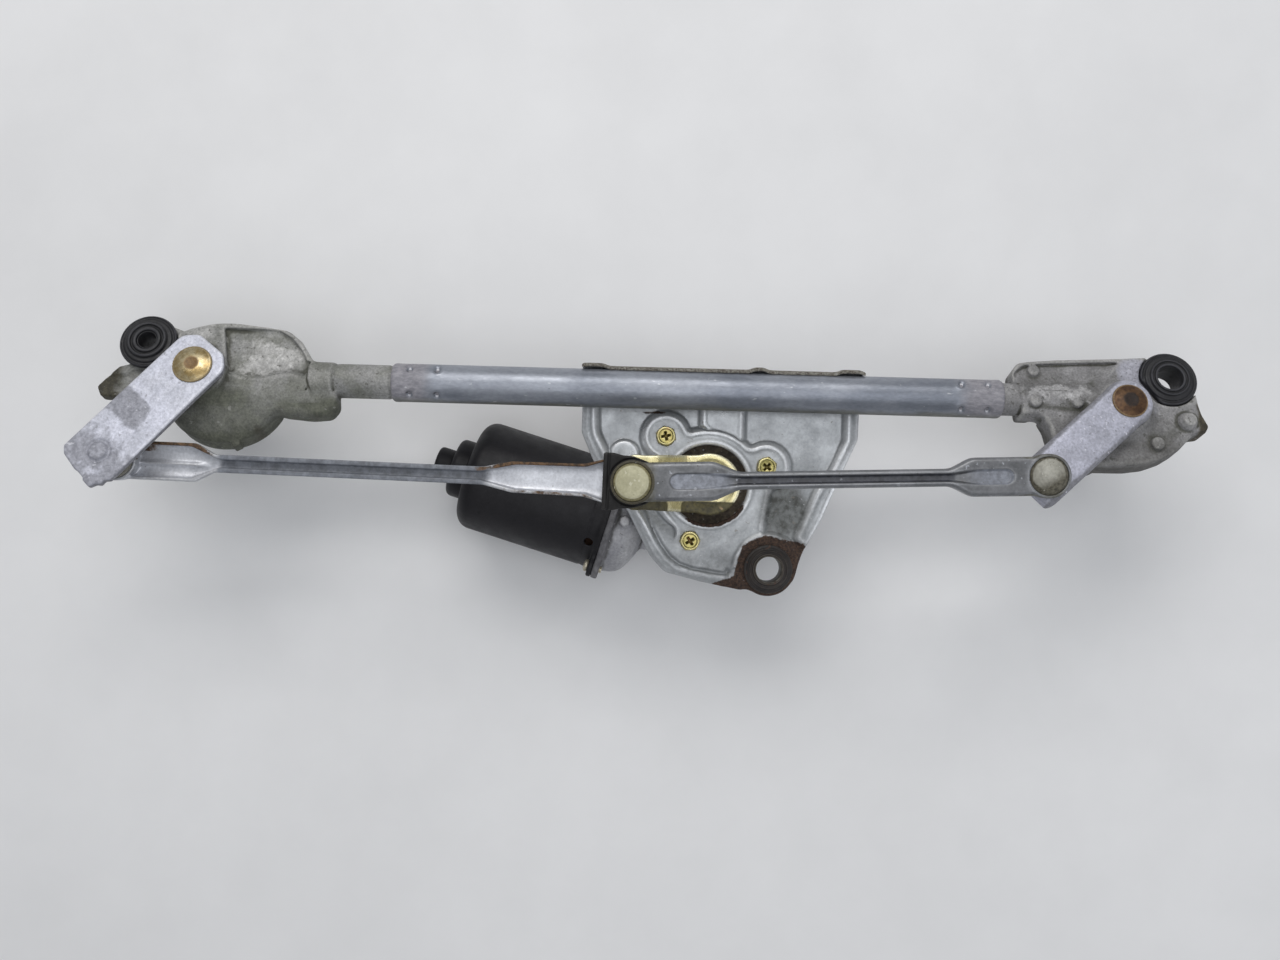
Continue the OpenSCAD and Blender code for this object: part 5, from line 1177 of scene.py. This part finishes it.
# ------------------------------------------------------------------ levers and spindles
def left_lever():
    g = Grid((-18, -20, 12.5), (87, 18, 20.4), (0.65, 0.65, 0.4))
    out = poly(g, fillet([(-9, -18.4, 8), (-15.6, -11, 6), (-15.6, 8, 6), (-9, 15.6, 8), (70, 16.4, 2), (75.6, 16.2, 1), (77.4, 14.2, 0.8), (80.4, 14.4, 1), (82, 12, 1), (85.6, 10.4, 1.5), (85, 5, 1), (83.9, 4, 0.6), (83.2, -1.6, 0.6), (83.6, -3, 1), (81.2, -14.4, 2), (78, -18.2, 2.5)], 2))
    dish = f4(0.35) * np.exp(-(((g.x - f4(45)) / 30) ** 2 + (g.y / f4(9)) ** 2))
    f = ri(out, np.maximum(f4(14.6) - g.z, g.z - f4(19) + dish), 1.1)
    # the two eyes keep the full thickness
    f = ru(f, cyl(g, 14, 13, 17, e=0.8), 0.8)
    f = ru(f, cyl(g, 9, 13, 17, (ARM_L, 0), 0.8), 0.8)
    # pressed step across the bar, a shallow scar, and the flattened rivet
    f = ri(f, g.z - f4(18.75) - f4(0.25) * (1 / (1 + np.exp((g.x - f4(31.5) - f4(0.12) * g.y) / f4(0.8)))), 0.3)
    rc = (ARM_L + 3.6, -1.2)
    f = cut(f, ri(np.abs(circ(g, rc, 6.2)) - f4(0.7), f4(18.1) - g.z, 0), 0.6)
    f = ru(f, ri(circ(g, rc, 5.0), between(g.z, 15, 19.7), 0.9), 0.5)
    f = cut(f, np.sqrt((g.x - f4(48)) ** 2 + (g.y - f4(5)) ** 2 + (g.z - f4(21.6)) ** 2) - f4(3.3), 0.5)
    f = cut(f, cyl(g, 8.02, 0, 40, e=0), 0.3)
    return solid("left_lever_bar", g, f, LLV, MT["lever_l"], ["left_lever"], 0.5, {
        # the side mask is painted shade on the side walls below the top face
        "grey": lambda v: 0.9 * np.exp(-((v[:, 0] - 39.5) / 8.6) ** 6) * np.clip((8 - v[:, 1]) / 7, 0, 1) + 0.7 * np.clip((v[:, 0] - 46) / 22, 0, 1) + 0.14, "side": lambda v: np.clip((18.3 - v[:, 2]) / 0.8, 0, 1) * (np.hypot(v[:, 0] - ARM_L - 3.6, v[:, 1] + 1.2) > 8)})


def right_lever():
    g = Grid((-16, -16, 12.5), (ARM_R + 14.5, 16, 20), (0.65, 0.65, 0.4))
    L = ARM_R
    out = poly(g, [(0, -13.5), (L, -13.5), (L, 13.5), (0, 13.5)])
    out = ri(un(out, circ(g, (0, 0), 13.9), circ(g, (L, 0), 13.5)), g.x - f4(L + 7.2), 0.8)
    f = ri(out, between(g.z, 13, 19), 0.7)
    f = ri(f, (out + (g.z - f4(19)) * f4(1.15)) * f4(0.66) + f4(1.5), 1.0)
    f = cut(f, cyl(g, 8.02, 0, 40, e=0), 0.3)
    return solid("right_lever_bar", g, f, RLV, MT["lever_r"], ["right_lever"], 0.5, {
        "grey": lambda v: np.clip((np.abs(v[:, 1]) - 9.2) / 3, 0, 1) * 0.8 + 0.3 * np.exp(-((v[:, 0] - 74) / 16) ** 2)})


def spindle(name, fr, head, zc, zt, mat, reps):
    top = 19.02
    dome = [(0, top + 2.15), (1.6, top + 2.15), (2.8, top + 2.3), (3.5, top + 2.5)]
    dome += [(r, top + 0.5 + 2.2 * (1 - (r / (head - 0.4)) ** 2) ** 0.8) for r in np.linspace(4.1, head - 0.7, 9)]
    rows = dome + [(head - 0.25, top + 0.75), (head, top + 0.35), (head - 0.1, top + 0.05), (head - 0.5, top), (8.0, top), (8.0, 13.2), (7.8, 13.0), (7.05, 13.0), (7.0, 12.8), (7.0, zc + 0.3), (6.9, zc), (6.4, zc), (6.4, zc - 1.4), (6.9, zc - 1.4), (7.0, zc - 1.7), (7.0, zc - 4.4)]
    k0 = len(rows)
    rows += [(7.0 - 1.4 * t, zc - 4.6 - 7.6 * t) for t in np.linspace(0, 1, 7)]
    k1 = len(rows)
    rows += [(4.6, zc - 12.3), (4.0, zc - 12.5)]
    k2 = len(rows)
    zs = np.arange(zc - 12.6, zt + 0.8, -0.16)
    rows += [(4.0, z) for z in zs]
    k3 = len(rows)
    rows += [(3.5, zt + 0.6), (3.0, zt), (0, zt)]

    def mod(i, r, z, th):
        if k0 <= i < k1:
            return 0.3 * (np.abs(((th * 30 / math.pi) % 2) - 1) - 0.5) * 2 * min(1, (i - k0 + 0.3) / 2) - 0.15
        if k2 <= i < k3:
            ph = (z / 1.25 - th / (2 * math.pi)) % 1
            return -0.68 * np.abs(2 * ph - 1)
        return 0 * th

    rr = lambda v: np.hypot(v[:, 0], v[:, 1])
    ob = lathe(name, rows, fr, mat, reps, 120, mod, masks={
        "core": lambda v: np.clip((5.6 - rr(v)) / 2.4, 0, 1) * (v[:, 2] > 20), "ring": lambda v: np.clip((rr(v) - head + 1.8) / 1.5, 0, 1) * (v[:, 2] > 18.9),
        "bare": lambda v: (v[:, 2] < 18.5).astype(float), "cav": lambda v: 0 * v[:, 0]})
    return sharp(ob, 32)


def ball_stud(name, fr, mat, reps, parts):
    """Turned stud: (r, z) rows with the balls' arcs put in."""
    rows = []
    for p in parts:
        if len(p) == 2:
            rows.append(p)
        else:
            zc, r, a0, a1 = p
            rows += [(r * math.cos(rad(a)), zc + r * math.sin(rad(a))) for a in np.linspace(a0, a1, 15)]
    return sharp(lathe(name, rows, fr, mat, reps, 56), 45)


# ------------------------------------------------------------------ build
frame_tube()
left_housing()
right_housing()
motor_plate()
gl = H.at((*GRL, 0))
gr = H.at((*GRR, 0))
lo = W.at((*LOW, -12))
grommet("left_grommet_moulding", gl, MT["rubber"], ["left_mount_grommet"], 10.4, 16.4, 11.2, 5.9, -8, 7.5, -3.05, 3.05, 9.5, (-31, 14.2))
grommet("right_grommet_moulding", gr, MT["rubber"], ["right_mount_grommet"], 10.4, 16.4, 11.2, 7.3, -8, 7.5, -3.05, 3.05, 9.5, (214, 13.5))
grommet("lower_grommet_moulding", lo, MT["rubber_low"], ["lower_mount_grommet"], 10.9, 14.2, 11.2, 8.1, -7, 5.4, -1.05, 1.05, 7.5)
sleeve("left_collar_ring", gl, MT["rubber"], ["left_mount_collar"], 5.85, 5.0, -9, 8.5)
sleeve("lower_sleeve_ring", lo, MT["dull_steel"], ["lower_mount_sleeve"], 8.05, 7.5, -8, 8)
g_, f_ = hex_screw_parts(10.8, 5, 5.8, 3, 16, 2.8)
many("motor_screw_set", g_, f_, [W.at((x, y, -11), rz(rad(a))) for (x, y), a in zip(SCREWS, (12, 50, 33))], MT["gold"], ["motor_screws"], 0.6)
g_ = Grid((-3.8, -3.8, -8.5), (3.8, 3.8, 3.2), 0.35)
f_ = ri(cyl(g_, 3.6, 0, 3, e=0.8), np.sqrt(g_.x**2 + g_.y**2 + (g_.z + f4(3.2)) ** 2) - f4(6.3), 0.4)
f_ = cut(f_, cross_recess(g_, 2.0, 2.9, 0.6), 0.2)
f_ = un(f_, cyl(g_, 2, -8.5, 0.4, e=0.4))
many("yoke_screw_set", g_, f_, [MO.at((-52.5, EAR[0] * s, EAR[1] * s), ry(rad(-90))) for s in (-1, 1)], MT["pale"], ["yoke_screws"])
g_ = Grid((-2.6, -2.6, -7), (2.6, 2.6, 2.2), 0.3)
f_ = cut(cyl(g_, 2.4, 0, 2, e=0.7), cross_recess(g_, 1.5, 2.0, 0.45), 0.15)
f_ = un(f_, cyl(g_, 1.5, -7, 0.4, e=0.3))
many("cover_screw_set", g_, f_, [W.at((S[0] + 39.6 * math.cos(rad(20 + 90 * i)), S[1] + 39.6 * math.sin(rad(20 + 90 * i)), -62.8), rx(math.pi)) for i in range(4)], MT["gold"], ["gear_cover_screws"])
gear_housing()
gear_cover()
motor_yoke()
connector()
crank_arm()
crank_nut()
output_shaft()
left_rod()
right_rod()
cap("crank_cap_moulding", 0.0, MT["cream"], ["right_link_crank_socket"], 0.2)
cap("lever_cap_moulding", LEN_R, MT["grey_cap"], ["right_link_lever_socket"], 1.2)
crank_block()
left_lever()
right_lever()
spindle("left_spindle_turned", SPL, 11.1, -63.6, -84.5, MT["brass"], ["left_spindle"])
spindle("right_spindle_turned", SPR, 9.9, -65.6, -86.9, MT["bronze"], ["right_spindle"])
PINF = W.at((-4, -53.5, 0))
ball_stud("crank_stud_turned", PINF, MT["steel"], ["crank_ball_stud"], [(0, 47.5), (41, 6.5, 89, -52), (3.8, 35.5), (3.8, 30.6), (25, 6.5, 54, -54), (3.8, 19.2), (4.6, 18.4), (7.2, 18.4), (7.5, 18.1), (7.5, 17.05), (5, 17.02), (5, 12.0), (7, 11.95), (7, 10.2), (6.2, 9.5), (0, 9.5)])
ball_stud("left_lever_stud_turned", H.at((-292, -52, 1)), MT["steel"], ["left_lever_ball_stud"], [(0, 11.5), (3.4, 11.5), (6.2, 10.3), (6.2, 9.1), (3.6, 8.9), (3.6, 5.6), (0, 6.5, 56, -89), (0, -6.5)])
ball_stud("right_lever_stud_turned", H.at((217.4, -57.4, 29)), MT["steel"], ["right_lever_ball_stud"], [(0, 6.5), (0, 6.5, 89, -56), (3.6, -5.6), (3.6, -7.2), (6.2, -7.4), (6.2, -8.3), (3.4, -9.5), (0, -9.5)])

# finishes of the pieces that keep their own shape
for n, m in {"left_link_lever_socket": "grey_cap", "left_spindle_bushes": "bush", "right_spindle_bushes": "bush", "left_spindle_seal": "rubber", "right_spindle_seal": "rubber",
             "gear_cover_gasket": "rubber", "output_shaft_bush": "bush", "field_magnets": "ferrite", "brush_plate": "phenolic", "brushes": "carbon", "rear_bearing": "bush",
             "front_bearing": "bush", "connector_terminals": "steel", "worm_wheel": "nylon", "armature_shaft": "steel", "rotor_core": "core", "rotor_windings": "copper",
             "commutator": "copper", "left_spindle_washer": "washer", "left_spindle_circlip": "washer", "right_spindle_washer": "washer", "right_spindle_circlip": "washer"}.items():
    o = frame["nodes"][n]
    o.data.materials.clear()
    o.data.materials.append(MT[m])

# ------------------------------------------------------------------ floor, light, camera
me = bpy.data.meshes.new("floor")
me.from_pydata([(-4, -4, 0), (4, -4, 0), (4, 4, 0), (-4, 4, 0)], [], [(0, 1, 2, 3)])
floor = bpy.data.objects.new("floor", me)
scene.collection.objects.link(floor)
me.materials.append(MT["floor"])

world = bpy.data.worlds.new("studio")
scene.world = world
world.use_nodes = True
bg = world.node_tree.nodes["Background"]
bg.inputs[0].default_value = (0.93, 0.96, 1.0, 1)
bg.inputs[1].default_value = 0.36


def area(name, loc, target, size, power, colour=(1, 1, 1)):
    li = bpy.data.lights.new(name, "AREA")
    li.shape = "RECTANGLE"
    li.size, li.size_y = size
    li.energy = power
    li.color = colour
    ob = bpy.data.objects.new(name, li)
    scene.collection.objects.link(ob)
    from mathutils import Vector
    ob.location = loc
    ob.rotation_euler = (Vector(target) - Vector(loc)).to_track_quat("-Z", "Y").to_euler()
    return ob


area("key", (-0.25, 1.15, 1.3), (0, -0.25, 0.05), (1.5, 0.6), 13, (1, 0.985, 0.96))
area("top", (0.1, -0.1, 1.7), (0, -0.1, 0.05), (1.4, 1.0), 7, (0.97, 0.98, 1))
area("side", (1.4, -0.5, 0.9), (0, 0, 0.05), (0.9, 0.7), 3, (0.95, 0.97, 1))

cam = bpy.data.cameras.new("camera")
cam.sensor_fit = "HORIZONTAL"
cam.sensor_width = 36
cam.lens = 1150 / 1280 * 36
cam.clip_start, cam.clip_end = 0.01, 20
co = bpy.data.objects.new("camera", cam)
scene.collection.objects.link(co)
co.location = (-0.002743, -0.01093, 0.74175)
co.rotation_euler = (0, 0, rad(1.59))
scene.camera = co
scene.view_settings.view_transform = "Standard"
